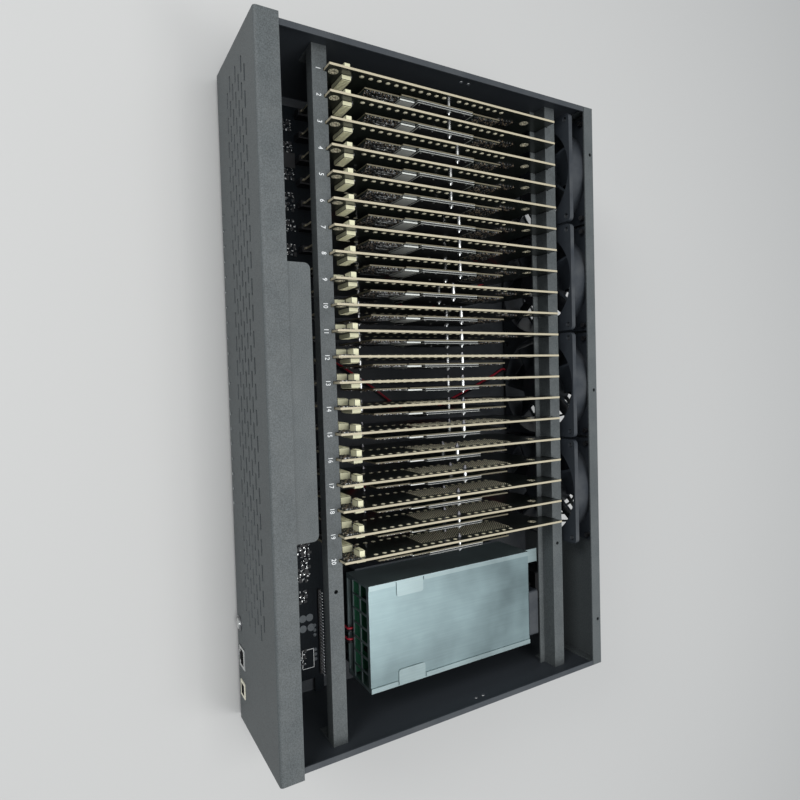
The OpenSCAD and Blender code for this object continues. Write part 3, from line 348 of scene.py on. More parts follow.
def grained(name, color, size_mm, contrast, roughness, metallic=0.0, bump=0.3, dusty=0.0, **settings):
    """Powder coat, moulded plastic, rubber and the like."""
    material, tree, shader, coords = plain_material(name, metallic, roughness, **settings)
    node = placed_group(tree, grain, coords, Color=(*color, 1), Size=size_mm, Contrast=contrast)
    result = node.outputs["Color"]
    if dusty:
        result = placed_group(tree, dust, coords, Color=result, Amount=dusty).outputs["Color"]
    tree.links.new(result, shader.inputs["Base Color"])
    if bump:
        add_bump(tree, shader, node.outputs["Height"], bump, size_mm * MM * tooth_share)
    return material


def rolled(name, color, contrast, roughness, metallic=0.9, bump=0.08, **settings):
    """Bare sheet metal with rolling streaks."""
    material, tree, shader, coords = plain_material(name, metallic, roughness, **settings)
    node = placed_group(tree, streaks, coords, Color=(*color, 1), Contrast=contrast, Roughness=roughness)
    tree.links.new(node.outputs["Color"], shader.inputs["Base Color"])
    tree.links.new(node.outputs["Roughness"], shader.inputs["Roughness"])
    add_bump(tree, shader, node.outputs["Height"], bump, streak_depth)
    return material


print("height of the grain, as a share of its width:", tooth_share)

# %% [markdown]
# The case is powder coated dark grey. Its inside is the same paint, made darker as painted shade.
# The supply is bare zinc, and its folds and tabs are coloured lighter than its cover as a painted highlight.
# Each line below is one finish, with its colour, grain and roughness.

# %% The finishes
coat = grained("powder_coat", (0.072, 0.082, 0.084), 0.75, 0.3, 0.6, bump=0.35, dusty=0.05)
# Painted shade: the outside powder coat made darker to stand in for the shade inside the case.
shaded_coat = grained("powder_coat_painted_shade", (0.035, 0.041, 0.048), 0.75, 0.16, 0.55, bump=0.25, dusty=0.04)
# Painted highlight: the supply's folds and tabs are the cover's zinc made lighter, as if they catch the
# light.
zinc_painted_highlight = rolled("zinc_painted_highlight", (0.32, 0.4, 0.405), 0.12, 0.4, metallic=0.85)
cover_zinc = rolled("cover_zinc", (0.235, 0.31, 0.32), 0.16, 0.36, metallic=0.85)
bright_steel = rolled("nickel_plate", (0.72, 0.73, 0.72), 0.05, 0.3, metallic=1.0)
dark_steel = rolled("black_zinc", (0.2, 0.2, 0.21), 0.08, 0.38, metallic=1.0)
fan_plastic = grained("fan_plastic", (0.026, 0.031, 0.038), 0.5, 0.2, 0.42, bump=0.12, dusty=0.08)
rotor_plastic = grained("rotor_plastic", (0.03, 0.036, 0.044), 0.5, 0.15, 0.38, bump=0.08, dusty=0.05)
black_plastic = grained("black_nylon", (0.014, 0.015, 0.017), 0.5, 0.25, 0.5, bump=0.15)
cream_plastic = grained("cream_nylon", (0.7, 0.68, 0.46), 0.6, 0.06, 0.45, bump=0.1)
white_ink = grained("white_ink", (0.82, 0.84, 0.84), 0.4, 0.08, 0.6, bump=0.0)
rubber = grained("rubber", (0.02, 0.02, 0.021), 0.9, 0.2, 0.8, bump=0.4, dusty=0.12)
red_jacket = grained("red_insulation", (0.42, 0.02, 0.04), 1.2, 0.1, 0.4, bump=0.05)
black_jacket = grained("black_insulation", (0.012, 0.012, 0.014), 1.2, 0.1, 0.42, bump=0.05)
milky_lens = grained("milky_lens", (0.75, 0.8, 0.8), 0.6, 0.04, 0.2, bump=0.0)
gold = grained("soldered_gold", (1.0, 0.93, 0.68), 0.6, 0.05, 0.35, metallic=0.2, bump=0.1)
brown_ceramic = grained("brown_ceramic", (0.17, 0.13, 0.09), 0.5, 0.1, 0.4, bump=0.05)
board_edge = grained("board_edge", (0.46, 0.41, 0.29), 0.5, 0.2, 0.6, bump=0.25)
phone_edge = grained("phone_board_edge", (0.16, 0.14, 0.09), 0.5, 0.2, 0.6, bump=0.2)
satin_steel = rolled("satin_steel", (0.85, 0.87, 0.82), 0.08, 0.45, metallic=0.25)
dull_tin = grained("dull_tin", (0.12, 0.135, 0.145), 0.7, 0.15, 0.6, metallic=0.2, bump=0.1)
print("materials:", len(bpy.data.materials))


# %% [markdown]
# A black circuit board isn't plain black. Under its lacquer run fine tracks, and on the telephone's
# board the tiniest plated holes show as pale dots. Both follow a rule, so they are worked out from the
# object's own coordinates. Larger holes and pads are real meshes, further down.

# %% Black lacquer with tracks and plated holes
def make_dot_grid():
    """Pale dots on a square grid in the YZ plane, inside a rectangle given by its low and high corners."""
    tree, given, out = shader_group("dot_grid", [
        ("Vector", VECTOR, None), ("Pitch", FLOAT, 0.0023), ("Radius", FLOAT, 0.2),
        ("Low", VECTOR, (0, 0, 0)), ("High", VECTOR, (0, 0, 0))], [("Mask", FLOAT)])
    parts, low, high = [split(tree, given[socket]) for socket in ("Vector", "Low", "High")]
    squares, inside = [], []
    for axis in ("Y", "Z"):
        place = math_node(tree, "SUBTRACT", parts[axis], low[axis])
        cell = math_node(tree, "FRACT", math_node(tree, "DIVIDE", place, given["Pitch"]))
        middle = math_node(tree, "SUBTRACT", cell, 0.5)
        squares.append(math_node(tree, "MULTIPLY", middle, middle))
        inside.append(math_node(tree, "GREATER_THAN", place, 0.0))
        inside.append(math_node(tree, "LESS_THAN", parts[axis], high[axis]))
    distance = math_node(tree, "SQRT", math_node(tree, "ADD", squares[0], squares[1]))
    mask = math_node(tree, "LESS_THAN", distance, given["Radius"])
    for limit in inside:
        mask = math_node(tree, "MULTIPLY", mask, limit)
    tree.links.new(mask, out["Mask"])
    return tree


dot_grid = make_dot_grid()
track_width, track_tones = 0.035, {"Color1": 1.0, "Color2": 1.35, "Mortar": 2.2}
dot_color = (0.8, 0.74, 0.55, 1)


def lacquer(name, color, dots=(), track_scale=240.0, roughness=0.32, gloss=0.2, sheen=0.5):
    """Board lacquer with faint tracks, and with dots of a pitch and radius in the rectangles given."""
    material, tree, shader, coords = plain_material(
        name, 0.0, roughness, Coat_Weight=gloss, Specular_IOR_Level=sheen)
    turned = make_node(tree, "ShaderNodeMapping", {"Vector": coords, "Rotation": (0, math.radians(90), 0)})
    tones = {socket: (*[c * factor for c in color], 1) for socket, factor in track_tones.items()}
    tracks = make_node(tree, "ShaderNodeTexBrick", {
        "Vector": turned.outputs["Vector"], "Scale": track_scale, "Mortar Size": track_width, **tones})
    varied = placed_group(tree, grain, coords, Color=tracks.outputs["Color"], Size=0.9, Contrast=0.25)
    color_out = varied.outputs["Color"]
    for pitch, radius, low, high in dots:
        grid = placed_group(tree, dot_grid, coords, Pitch=pitch * MM, Radius=radius, Low=low, High=high)
        color_out = mix_colors(tree, grid.outputs["Mask"], color_out, dot_color)
    tree.links.new(color_out, shader.inputs["Base Color"])
    return material


phone_dots = (1.5, 0.16, at(0, 184, 60), at(0, 206, 86))
card_lacquer = lacquer("card_lacquer", (0.010, 0.012, 0.010))
phone_lacquer = lacquer("phone_board_lacquer", (0.012, 0.02, 0.018), [phone_dots], track_scale=500.0)
hub_lacquer = lacquer("hub_board_lacquer", (0.004, 0.006, 0.008), roughness=0.55, gloss=0.0, sheen=0.12)
print("lacquers:", card_lacquer.name, phone_lacquer.name, hub_lacquer.name)


# %% [markdown]
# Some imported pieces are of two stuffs, such as gold pins in a black strip. A box in object coordinates
# tells the two apart, so one material serves the whole piece.

# %% One piece, two finishes
def make_box_mask():
    """1 inside a box and 0 outside it."""
    tree, given, out = shader_group("box_mask", [
        ("Vector", VECTOR, None), ("Low", VECTOR, (0, 0, 0)), ("High", VECTOR, (0, 0, 0))], [("Mask", FLOAT)])
    parts, low, high = [split(tree, given[socket]) for socket in ("Vector", "Low", "High")]
    mask = 1.0
    for axis in "XYZ":
        above = math_node(tree, "GREATER_THAN", parts[axis], low[axis])
        below = math_node(tree, "LESS_THAN", parts[axis], high[axis])
        mask = math_node(tree, "MULTIPLY", mask, math_node(tree, "MULTIPLY", above, below))
    tree.links.new(mask, out["Mask"])
    return tree


box_mask = make_box_mask()
print("shader group:", box_mask.name)


def two_finishes(name, outside, inside, low, high):
    """One material with a colour, metallic and roughness outside a box and others inside it."""
    material, tree, shader, coords = plain_material(name, 0.0, 0.4)
    mask = placed_group(tree, box_mask, coords, Low=low, High=high).outputs["Mask"]
    color = mix_colors(tree, mask, (*outside[0], 1), (*inside[0], 1))
    varied = placed_group(tree, grain, coords, Color=color, Size=0.7, Contrast=0.08)
    tree.links.new(varied.outputs["Color"], shader.inputs["Base Color"])
    tree.links.new(ramp_node(tree, mask, 0.0, 1.0, outside[1], inside[1]), shader.inputs["Metallic"])
    tree.links.new(ramp_node(tree, mask, 0.0, 1.0, outside[2], inside[2]), shader.inputs["Roughness"])
    return material


# %% [markdown]
# Five pieces need it. The two sockets are bright or cream outside and dark in their bores. The inlet is
# black with brass blades, and the pin strip is black with tinned pins. The supply's board is a green
# sheet under dark parts.

# %% The pieces of two stuffs
board_z = 7.0
network_place, data_place, inlet_place = (197.2, 13.9), (222.6, 12.7), (190.0, 30.0)
nickel = ((0.7, 0.71, 0.7), 1.0, 0.32)
soot = ((0.012, 0.012, 0.013), 0.0, 0.5)
brass = ((0.8, 0.6, 0.3), 1.0, 0.3)
tin = ((0.85, 0.87, 0.88), 0.3, 0.35)
cream = ((0.78, 0.75, 0.6), 0.0, 0.4)
mask_green = ((0.03, 0.15, 0.08), 0.0, 0.4)


def box_round(place, half_width, depths, below, above):
    """The low and high corners of a box round a place on the front or the back of the case."""
    x, z = place
    return at(x - half_width, depths[0], z - below), at(x + half_width, depths[1], z + above)


network_bore = box_round(network_place, 5.95, (-0.55, 14), 6.7, 4.05)
network_finish = two_finishes("socket_shell", nickel, soot, *network_bore)
data_bore = box_round(data_place, 4.3, (-0.5, 9.0), 4.0, 4.0)
data_finish = two_finishes("data_socket_shell", cream, soot, *data_bore)
header_base = (at(0, 0, board_z - 1), at(250, 90, board_z + 2.55))
header_finish = two_finishes("pin_strip", tin, soot, *header_base)
supply_board_sheet = (at(100, 70, 30), at(250, 250, 42.0))
psu_board_finish = two_finishes("supply_board", soot, mask_green, *supply_board_sheet)
inlet_bore = box_round(inlet_place, 8.3, (284.4, 299.5), 4.6, 4.6)
inlet_finish = two_finishes("inlet_body", soot, brass, *inlet_bore)
print("materials so far:", len(bpy.data.materials))


# %% [markdown]
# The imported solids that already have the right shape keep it, and only take a finish. A table of names
# is the clearest way, and the loop below checks that no node is left out.

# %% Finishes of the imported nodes
finish_of = {
    "base_tray": shaded_coat, "front_panel": coat, "rear_panel": coat, "hub_shield": coat,
    "front_card_rail": coat, "rear_card_rail": coat, "rail_screws": dark_steel, "hub_board": hub_lacquer,
    "hub_chips": black_plastic, "hub_connectors": black_plastic, "card_sockets": black_plastic,
    "pin_header": header_finish, "board_standoffs": bright_steel, "board_screws": bright_steel,
    "network_socket": network_finish, "data_socket": data_finish, "power_switch": dark_steel,
    "power_button": bright_steel, "indicator_lights": milky_lens, "psu_case": zinc_painted_highlight,
    "psu_cover": cover_zinc, "psu_board": psu_board_finish, "psu_fan_frame": fan_plastic,
    "psu_fan_rotor": rotor_plastic, "psu_bracket": shaded_coat, "bracket_screws": dark_steel,
    "ac_inlet": inlet_finish, "rear_screws": dark_steel, "red_leads": red_jacket,
    "black_leads": black_jacket, "mains_lead": black_jacket, "rubber_feet": rubber,
}
for number in range(1, 5):
    finish_of[f"fan_frame_{number}"] = fan_plastic
    finish_of[f"fan_rotor_{number}"] = rotor_plastic
card_count = 20
for number in range(1, card_count + 1):
    finish_of[f"card_{number:02d}"] = card_lacquer
for name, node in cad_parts.items():
    node.data.materials.clear()
    node.data.materials.append(finish_of[name])
print("nodes with a finish:", len(finish_of))


# %% [markdown]
# New pieces are drawn in a mesh builder, in millimetres from the front panel. Boxes, discs and plates
# are enough for electronics, because a real card is a flat board with small flat parts on it.

# %% Mesh helpers
class Draft:
    """A mesh in the making, with a material number for each face."""

    def __init__(self, materials):
        self.bm = bmesh.new()
        self.materials = list(materials)

    def paint(self, verts, material):
        index = self.materials.index(material)
        for face in {f for v in verts for f in v.link_faces}:
            face.material_index = index

    def box(self, low, high, material, bevel=0.0):
        low, high = Vector(low), Vector(high)
        place = Matrix.Translation((low + high) / 2) @ Matrix.Diagonal((*(high - low), 1))
        verts = bmesh.ops.create_cube(self.bm, size=1, matrix=place)["verts"]
        self.paint(verts, material)
        if bevel:
            edges = list({e for v in verts for e in v.link_edges})
            bmesh.ops.bevel(self.bm, geom=edges, offset=bevel, segments=2, profile=0.5, affect="EDGES")

    def disc(self, centre, axis, radius, depth, material, sides=16, tip=None):
        """A cylinder, or a cone with a tip radius, that starts at centre and runs along axis."""
        turn = Vector((0, 0, 1)).rotation_difference(Vector(axis)).to_matrix().to_4x4()
        place = Matrix.Translation(Vector(centre)) @ turn @ Matrix.Translation((0, 0, depth / 2))
        verts = bmesh.ops.create_cone(
            self.bm, cap_ends=True, cap_tris=False, segments=sides, radius1=radius,
            radius2=radius if tip is None else tip, depth=depth, matrix=place)["verts"]
        self.paint(verts, material)

    def plate(self, outer, holes, x0, x1, face_material, edge_material):
        """A board in the YZ plane between two depths, with holes; outlines are lists of (y, z)."""
        loops = [[Vector((0, y, z)) for y, z in loop] for loop in [outer, *holes]]
        flat = [p for loop in loops for p in loop]
        triangles = tessellate_polygon(loops)
        face_index = self.materials.index(face_material)
        edge_index = self.materials.index(edge_material)
        sides = []
        for x in (x0, x1):
            verts = [self.bm.verts.new((x, p.y, p.z)) for p in flat]
            sides.append(verts)
            for triangle in triangles:
                corners = [verts[k] for k in triangle]
                normal = (corners[1].co - corners[0].co).cross(corners[2].co - corners[0].co)
                if (normal.x > 0) != (x == x1):
                    corners.reverse()
                self.bm.faces.new(corners).material_index = face_index
        start = 0
        for loop in loops:
            for k in range(len(loop)):
                a, b = start + k, start + (k + 1) % len(loop)
                wall = (sides[0][a], sides[0][b], sides[1][b], sides[1][a])
                self.bm.faces.new(wall).material_index = edge_index
            start += len(loop)

    def add_mesh(self, mesh, place):
        """Adds another mesh with its own materials."""
        offset = {}
        for k, material in enumerate(mesh.materials):
            if material not in self.materials:
                self.materials.append(material)
            offset[k] = self.materials.index(material)
        verts = [self.bm.verts.new(place @ v.co) for v in mesh.vertices]
        for polygon in mesh.polygons:
            face = self.bm.faces.new([verts[k] for k in polygon.vertices])
            face.material_index = offset.get(polygon.material_index, 0)

    def mesh(self, name, place=into_case):
        bmesh.ops.recalc_face_normals(self.bm, faces=self.bm.faces)
        made = bpy.data.meshes.new(name)
        self.bm.to_mesh(made)
        self.bm.free()
        for material in self.materials:
            made.materials.append(material)
        made.transform(place)
        return made


print("metres to a millimetre of a draft:", round(into_case.to_scale()[0], 6))

# %% [markdown]
# A finished mesh becomes a piece of the model in one call, which says what body it rides on and which
# imported nodes it takes the place of.

# %% From a mesh to a piece
def new_piece(name, mesh, body, slot, *replaced):
    """Links a finished mesh as a piece that rides on a body."""
    piece = bpy.data.objects.new(name, mesh)
    bpy.context.scene.collection.objects.link(piece)
    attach(piece, body)
    if replaced:
        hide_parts(*replaced)
    return piece


def ring_points(y, z, radius, sides=20):
    return [(y + radius * math.cos(2 * math.pi * k / sides), z + radius * math.sin(2 * math.pi * k / sides))
            for k in range(sides)]


print("corners of a ring:", len(ring_points(0, 0, 1)))

# %% [markdown]
# What repeats is made by Geometry Nodes. Three trees are built, and they end alike: a pattern is copied
# onto points, the copies become real mesh, and the mesh takes a material.

# %% What every tree has
GEOMETRY, INT, OBJECT, MATERIAL = (
    "NodeSocketGeometry", "NodeSocketInt", "NodeSocketObject", "NodeSocketMaterial")


def geometry_tree(name, inputs):
    tree = bpy.data.node_groups.new(name, "GeometryNodeTree")
    tree.interface.new_socket("Geometry", in_out="INPUT", socket_type=GEOMETRY)
    tree.interface.new_socket("Geometry", in_out="OUTPUT", socket_type=GEOMETRY)
    for socket, kind in inputs:
        tree.interface.new_socket(socket, in_out="INPUT", socket_type=kind)
    return tree, tree.nodes.new("NodeGroupInput").outputs, tree.nodes.new("NodeGroupOutput").inputs


def finish_tree(tree, points, pattern, given, out, **more):
    """Ends a tree: a pattern is copied onto points, and the copies become real and take the material."""
    copies = make_node(
        tree, "GeometryNodeInstanceOnPoints", {"Points": points, "Instance": pattern, **more})
    real = make_node(tree, "GeometryNodeRealizeInstances", {"Geometry": copies.outputs["Instances"]})
    painted = make_node(tree, "GeometryNodeSetMaterial", {
        "Geometry": real.outputs["Geometry"], "Material": given["Material"]})
    tree.links.new(painted.outputs["Geometry"], out["Geometry"])
    return tree


print("kinds of socket for trees:", GEOMETRY, INT, OBJECT, MATERIAL)

# %% [markdown]
# The first tree puts copies of a small mesh on a grid, which suits soldered pads and plated holes.

# %% Copies on a grid
def make_grid_tree():
    tree, given, out = geometry_tree("copies_on_a_grid", [
        ("Source", OBJECT), ("Width", FLOAT), ("Depth", FLOAT), ("Columns", INT), ("Rows", INT),
        ("Material", MATERIAL)])
    grid = make_node(tree, "GeometryNodeMeshGrid", {
        "Size X": given["Width"], "Size Y": given["Depth"],
        "Vertices X": given["Columns"], "Vertices Y": given["Rows"]})
    source = make_node(tree, "GeometryNodeObjectInfo", {"Object": given["Source"]})
    return finish_tree(tree, grid.outputs["Mesh"], source.outputs["Geometry"], given, out)


grid_tree = make_grid_tree()
print("tree:", grid_tree.name)

# %% [markdown]
# The second tree strews boxes of chosen sizes over a rectangle from a fixed seed, as the tiny parts of a
# board look from a step away. About half of them, picked by chance, are turned by a quarter.

# %% Strewn parts
def make_strewn_tree():
    tree, given, out = geometry_tree("strewn_parts", [
        ("Width", FLOAT), ("Depth", FLOAT), ("Gap", FLOAT), ("Density", FLOAT), ("Seed", INT),
        ("Smallest", VECTOR), ("Largest", VECTOR), ("Material", MATERIAL)])
    area = make_node(tree, "GeometryNodeMeshGrid", {
        "Vertices X": 2, "Vertices Y": 2, "Size X": given["Width"], "Size Y": given["Depth"]})
    spread = tree.nodes.new("GeometryNodeDistributePointsOnFaces")
    spread.distribute_method = "POISSON"
    feed(tree, spread, {
        "Mesh": area.outputs["Mesh"], "Distance Min": given["Gap"], "Density Max": given["Density"],
        "Seed": given["Seed"]})
    cube = make_node(tree, "GeometryNodeMeshCube", {})
    raised = make_node(
        tree, "GeometryNodeTransform", {"Geometry": cube.outputs["Mesh"], "Translation": (0, 0, 0.5)})
    sizes = tree.nodes.new("FunctionNodeRandomValue")
    sizes.data_type = "FLOAT_VECTOR"
    feed(tree, sizes, {0: given["Smallest"], 1: given["Largest"], "Seed": given["Seed"]})
    quarter = tree.nodes.new("FunctionNodeRandomValue")
    quarter.data_type = "INT"
    feed(tree, quarter, {4: 0, 5: 1})
    angle = math_node(tree, "MULTIPLY", quarter.outputs[2], math.pi / 2)
    turn = make_node(tree, "ShaderNodeCombineXYZ", {"Z": angle})
    return finish_tree(tree, spread.outputs["Points"], raised.outputs["Geometry"], given, out,
                       Scale=sizes.outputs[0], Rotation=turn.outputs[0])


strewn_tree = make_strewn_tree()
print("tree:", strewn_tree.name)

# %% [markdown]
# The third tree copies a mesh onto given points. Screws need it, because their places follow no grid.

# %% Copies on points
def make_points_tree():
    tree, given, out = geometry_tree("copies_on_points", [("Source", OBJECT), ("Material", MATERIAL)])
    source = make_node(tree, "GeometryNodeObjectInfo", {"Object": given["Source"]})
    return finish_tree(tree, given["Geometry"], source.outputs["Geometry"], given, out)


points_tree = make_points_tree()
print("tree:", points_tree.name)

# %% [markdown]
# A tree runs as a modifier on an empty object. Its result is taken as a plain mesh and the object goes.

# %% Running a tree
def run_tree(tree, base_mesh=None, **values):
    """Runs a tree with its named inputs and gives the result as a plain mesh."""
    holder = bpy.data.objects.new("holder", base_mesh or bpy.data.meshes.new("empty"))
    bpy.context.scene.collection.objects.link(holder)
    modifier = holder.modifiers.new("tree", "NODES")
    modifier.node_group = tree
    sockets = {s.name: s.identifier for s in tree.interface.items_tree if s.in_out == "INPUT"}
    for name, value in values.items():
        modifier[sockets[name]] = value
    evaluated = holder.evaluated_get(bpy.context.evaluated_depsgraph_get())
    mesh = bpy.data.meshes.new_from_object(evaluated)
    bpy.data.objects.remove(holder)
    return mesh


def source_object(name, mesh):
    """A pattern for a tree to copy; it is deleted when the copies are made."""
    pattern = bpy.data.objects.new(name, mesh)
    bpy.context.scene.collection.objects.link(pattern)
    return pattern


strewn_density = 6.0


def strewn(width, depth, gap, seed, smallest, largest, material):
    """Strewn parts over a rectangle in millimetres, standing on the XY plane round the origin."""
    return run_tree(
        strewn_tree, Width=float(width), Depth=float(depth), Gap=float(gap),
        Density=strewn_density, Seed=seed, Smallest=smallest, Largest=largest, Material=material)


print("most strewn parts on a square millimetre:", strewn_density)

# %% [markdown]
# Every card is the same board, with a telephone's main board held off its right face. Its outline is
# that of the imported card, with two ears on the rails and one tongue in the socket. Patterns are drawn
# flat, on the XY plane, and three turns lay them on the card's faces.

# %% The shape of a card, in millimetres
first_card_x, card_pitch = -229.0, 18.0
board_half = 0.8
print_lift = 0.06
card_outline = [
    (53.1, 72.2), (61.44, 72.2), (61.44, 20.0), (60.5, 20.0), (60.5, 9.8), (76.5, 9.8), (76.5, 20.0),
    (248.7, 20.0), (248.7, 72.2), (259.1, 72.2), (259.1, 94.5), (53.1, 94.5)]
right_side = Matrix.Rotation(math.radians(90), 4, "Y")
left_side = Matrix.Rotation(math.radians(-90), 4, "Y")
along_y = Matrix.Rotation(math.radians(90), 4, "Z")
print("corners of a card:", len(card_outline))

# %% [markdown]
# Both faces have two rows of soldered pads, and the left face has a field of plated holes. A pad is a
# low dome on a ring, and a hole is filled to a tiny dome. The first tree makes the rows from one of each.

# %% Pads and plated holes
pad_pitch, pad_first_y, pad_count = 7.0, 80.0, 19
pad_rows_z = (89.0, 57.0)
pad_layers = ((0, 1.75, 1.6, 0.12), (0.12, 1.45, 0.5, 0.3))
via_pitch, via_columns, via_rows, via_first = 7 / 3, 38, 10, (122.9, 82.7)
via_radius, via_tip, via_height = 0.42, 0.15, 0.3


def make_pad():
    """A soldered pad: a low dome on its plated ring, standing on the XY plane."""
    draft = Draft([gold])
    for z, radius, tip, height in pad_layers:
        draft.disc((0, 0, z), (0, 0, 1), radius, height, gold, 14, tip)
    return draft.mesh("pad", Matrix.Identity(4))


def make_via():
    """A plated through hole, filled with solder to a tiny dome on the XY plane."""
    draft = Draft([gold])
    draft.disc((0, 0, 0), (0, 0, 1), via_radius, via_height, gold, 6, via_tip)
    return draft.mesh("via", Matrix.Identity(4))


def grid_of(pattern_mesh, columns, rows, pitch):
    """A grid of gold copies with its first corner at the origin."""
    pattern = source_object("grid_pattern", pattern_mesh)
    width, depth = (columns - 1) * pitch, (rows - 1) * pitch
    mesh = run_tree(
        grid_tree, Source=pattern, Width=width, Depth=depth, Columns=columns, Rows=rows, Material=gold)
    bpy.data.objects.remove(pattern)
    mesh.transform(Matrix.Translation((width / 2, depth / 2, 0)))
    return mesh


def pad_rows(gap_column):
    """Both stretches of one row of pads, with the screw's column left out."""
    pieces = []
    for first, count in ((0, gap_column), (gap_column + 1, pad_count - gap_column - 1)):
        mesh = grid_of(make_pad(), count, 1, pad_pitch)
        mesh.transform(Matrix.Translation((first * pad_pitch, 0, 0)))
        pieces.append(mesh)
    return pieces


print("pads on a card:", 4 * (pad_count - 1), "and vias:", via_columns * via_rows)

# %% [markdown]
# The telephone's board is held off the card by spacers, so its parts are measured from its own face. Its
# cover is a dark plate in a bright frame, which shows from above as two thin bright lines.

# %% The telephone's board
phone_x0, phone_x1 = 5.2, 6.2
phone_outline = [(84, 26), (206, 26), (206, 86.5), (178, 86.5), (178, 88), (113, 88), (113, 85), (84, 85)]
cover_depth = 2.0
cover_x1 = phone_x1 + cover_depth
cover_y, cover_z = (127, 178), (42, 87.8)
cover_layers = (
    (0, 0.45, 0, "frame"), (0.45, 1.6, 0.4, "plate"), (1.6, 1.95, 0, "frame"), (1.95, 2.0, 0.7, "plate"))
cover_screws = ((130, 84.5), (141, 84.5), (172, 84.5), (151, 60), (130, 50), (172, 50))
can_y, can_z = (113.4, 126.4), (60, 84.2)
phone_blocks = (
    ((98, 64), (108, 68), 1.2, bright_steel), ((96, 74), (110, 75.4), 1.1, bright_steel),
    ((96, 78), (111, 79.2), 1.1, bright_steel), ((185, 40), (200, 55), 1.0, black_plastic),
    ((90, 40), (108, 56), 1.0, black_plastic))
screw_z, second_screw_z, low_screw = 84.6, 64.0, (98.6, 34.0)
shank_r, head_r, spacer_r = 0.9, 1.9, 1.6


def screw_at(draft, y, z, nut_x):
    """A spacer screw through the card: a dark head on the left, its bright end past the phone board."""
    head_h, nut_h, tip_h = 1.4, 1.1, 1.3
    draft.disc((-board_half, y, z), (-1, 0, 0), head_r, head_h, dark_steel, 16, 1.6)
    draft.disc((-board_half - head_h, y, z), (-1, 0, 0), shank_r, 1.2, dark_steel, 12)
    draft.disc((board_half, y, z), (1, 0, 0), spacer_r, phone_x0 - board_half, bright_steel, 12)
    draft.disc((nut_x, y, z), (1, 0, 0), head_r, nut_h, bright_steel, 6)
    draft.disc((nut_x + nut_h, y, z), (1, 0, 0), 0.95, tip_h, bright_steel, 12, 0.7)


def add_phone_board(draft, screw_y):
    """The telephone's main board with its cover, can, connectors and screws."""
    draft.plate(phone_outline, [], phone_x0, phone_x1, phone_lacquer, phone_edge)
    for near, far, inset, part in cover_layers:
        low = (phone_x1 + near, cover_y[0] + inset, cover_z[0] + inset)
        high = (phone_x1 + far, cover_y[1] - inset, cover_z[1] - inset)
        if part == "frame":
            draft.box(low, high, satin_steel, 0.1)
        else:
            draft.box(low, high, black_plastic)
    for y, z in cover_screws:
        draft.disc((cover_x1 - 0.05, y, z), (1, 0, 0), 0.8, 0.25, bright_steel, 12)
    draft.box((phone_x1, can_y[0], can_z[0]), (cover_x1 - 0.3, can_y[1], can_z[1]), satin_steel, 0.3)
    for low, high, height, finish in phone_blocks:
        draft.box((phone_x1, *low), (phone_x1 + height, *high), finish, 0.15)
    screw_at(draft, screw_y, screw_z, cover_x1)
    screw_at(draft, screw_y, second_screw_z, cover_x1)
    screw_at(draft, *low_screw, phone_x1)


print("cover screws:", len(cover_screws), "and blocks:", len(phone_blocks))

# %% [markdown]
# Three cream plugs stand near the front end of each card: a tall one on the right face, a wide and a
# small one on the left. Each has ribs on its outer face and a row of pins beside it.

# %% Plugs
tall_plug = {"side": 1, "reach": 3.3, "y0": 65.5, "z0": 68.3, "width": 7.5, "height": 18.0}
wide_plug = {"side": -1, "reach": 5.4, "y0": 60.5, "z0": 53.0, "width": 8.6, "height": 19.8}
small_plug = {"side": -1, "reach": 5.0, "y0": 66.2, "z0": 80.2, "width": 4.6, "height": 9.6}
plug_lift = 0.05


def span(a, b):
    return min(a, b), max(a, b)


def upright_plug(draft, side, reach, y0, z0, width, height):
    """An upright cream plug on one face of the card, with ribs outside and a row of pins beside it."""
    inner, outer = side * (board_half + plug_lift), side * (board_half + reach)
    x0, x1 = span(inner, outer)
    draft.box((x0, y0, z0), (x1, y0 + width, z0 + height), cream_plastic, 0.25)
    pins = int(height / 2)
    rib_x, pin_x = span(outer, outer + side * 0.25), span(inner, inner + side * 0.5)
    for k in range(pins):
        z = z0 + (k + 0.7) * height / (pins + 0.4)
        draft.box((rib_x[0], y0 + 0.7, z - 0.3), (rib_x[1], y0 + width - 0.7, z + 0.3), cream_plastic)
        draft.box((pin_x[0], y0 + width, z - 0.25), (pin_x[1], y0 + width + 1.0, z + 0.25), bright_steel)


print("plugs on a card:", len((tall_plug, wide_plug, small_plug)))

# %% [markdown]
# The two mounting holes have plated rings round them on both faces, and each ring has eight dark dots.

# %% Plated rings
ring_places = [(236.0, 82.0), (59.2, 86.6)]
hole_r, ring_inner_r, ring_outer_r, dot_ring_r, dot_r = 1.6, 1.7, 3.6, 2.7, 0.42
ring_dots = 8


def add_rings(draft):
    """Plated rings on both faces, each with eight dark dots."""
    for y, z in ring_places:
        for x in (board_half, -board_half - print_lift):
            outline, hole = ring_points(y, z, ring_outer_r, 28), ring_points(y, z, ring_inner_r)
            draft.plate(outline, [hole], x, x + print_lift, gold, gold)
        for k in range(ring_dots):
            turn = Matrix.Rotation(k * 2 * math.pi / ring_dots, 3, "X")
            dot = Vector((0, y, z)) + turn @ Vector((0, dot_ring_r, 0))
            for side in (-1, 1):
                face = Vector((side * (board_half + print_lift), 0, 0))
                draft.disc(dot + face, (side, 0, 0), dot_r, 0.05, black_plastic, 8)


print("rings on a card:", 2 * len(ring_places))

# %% [markdown]
# The smallest parts are strewn in the fields where a card carries them: bright ones, brown ones and a
# few larger black ones. A seed for each field keeps them where they are on every run.

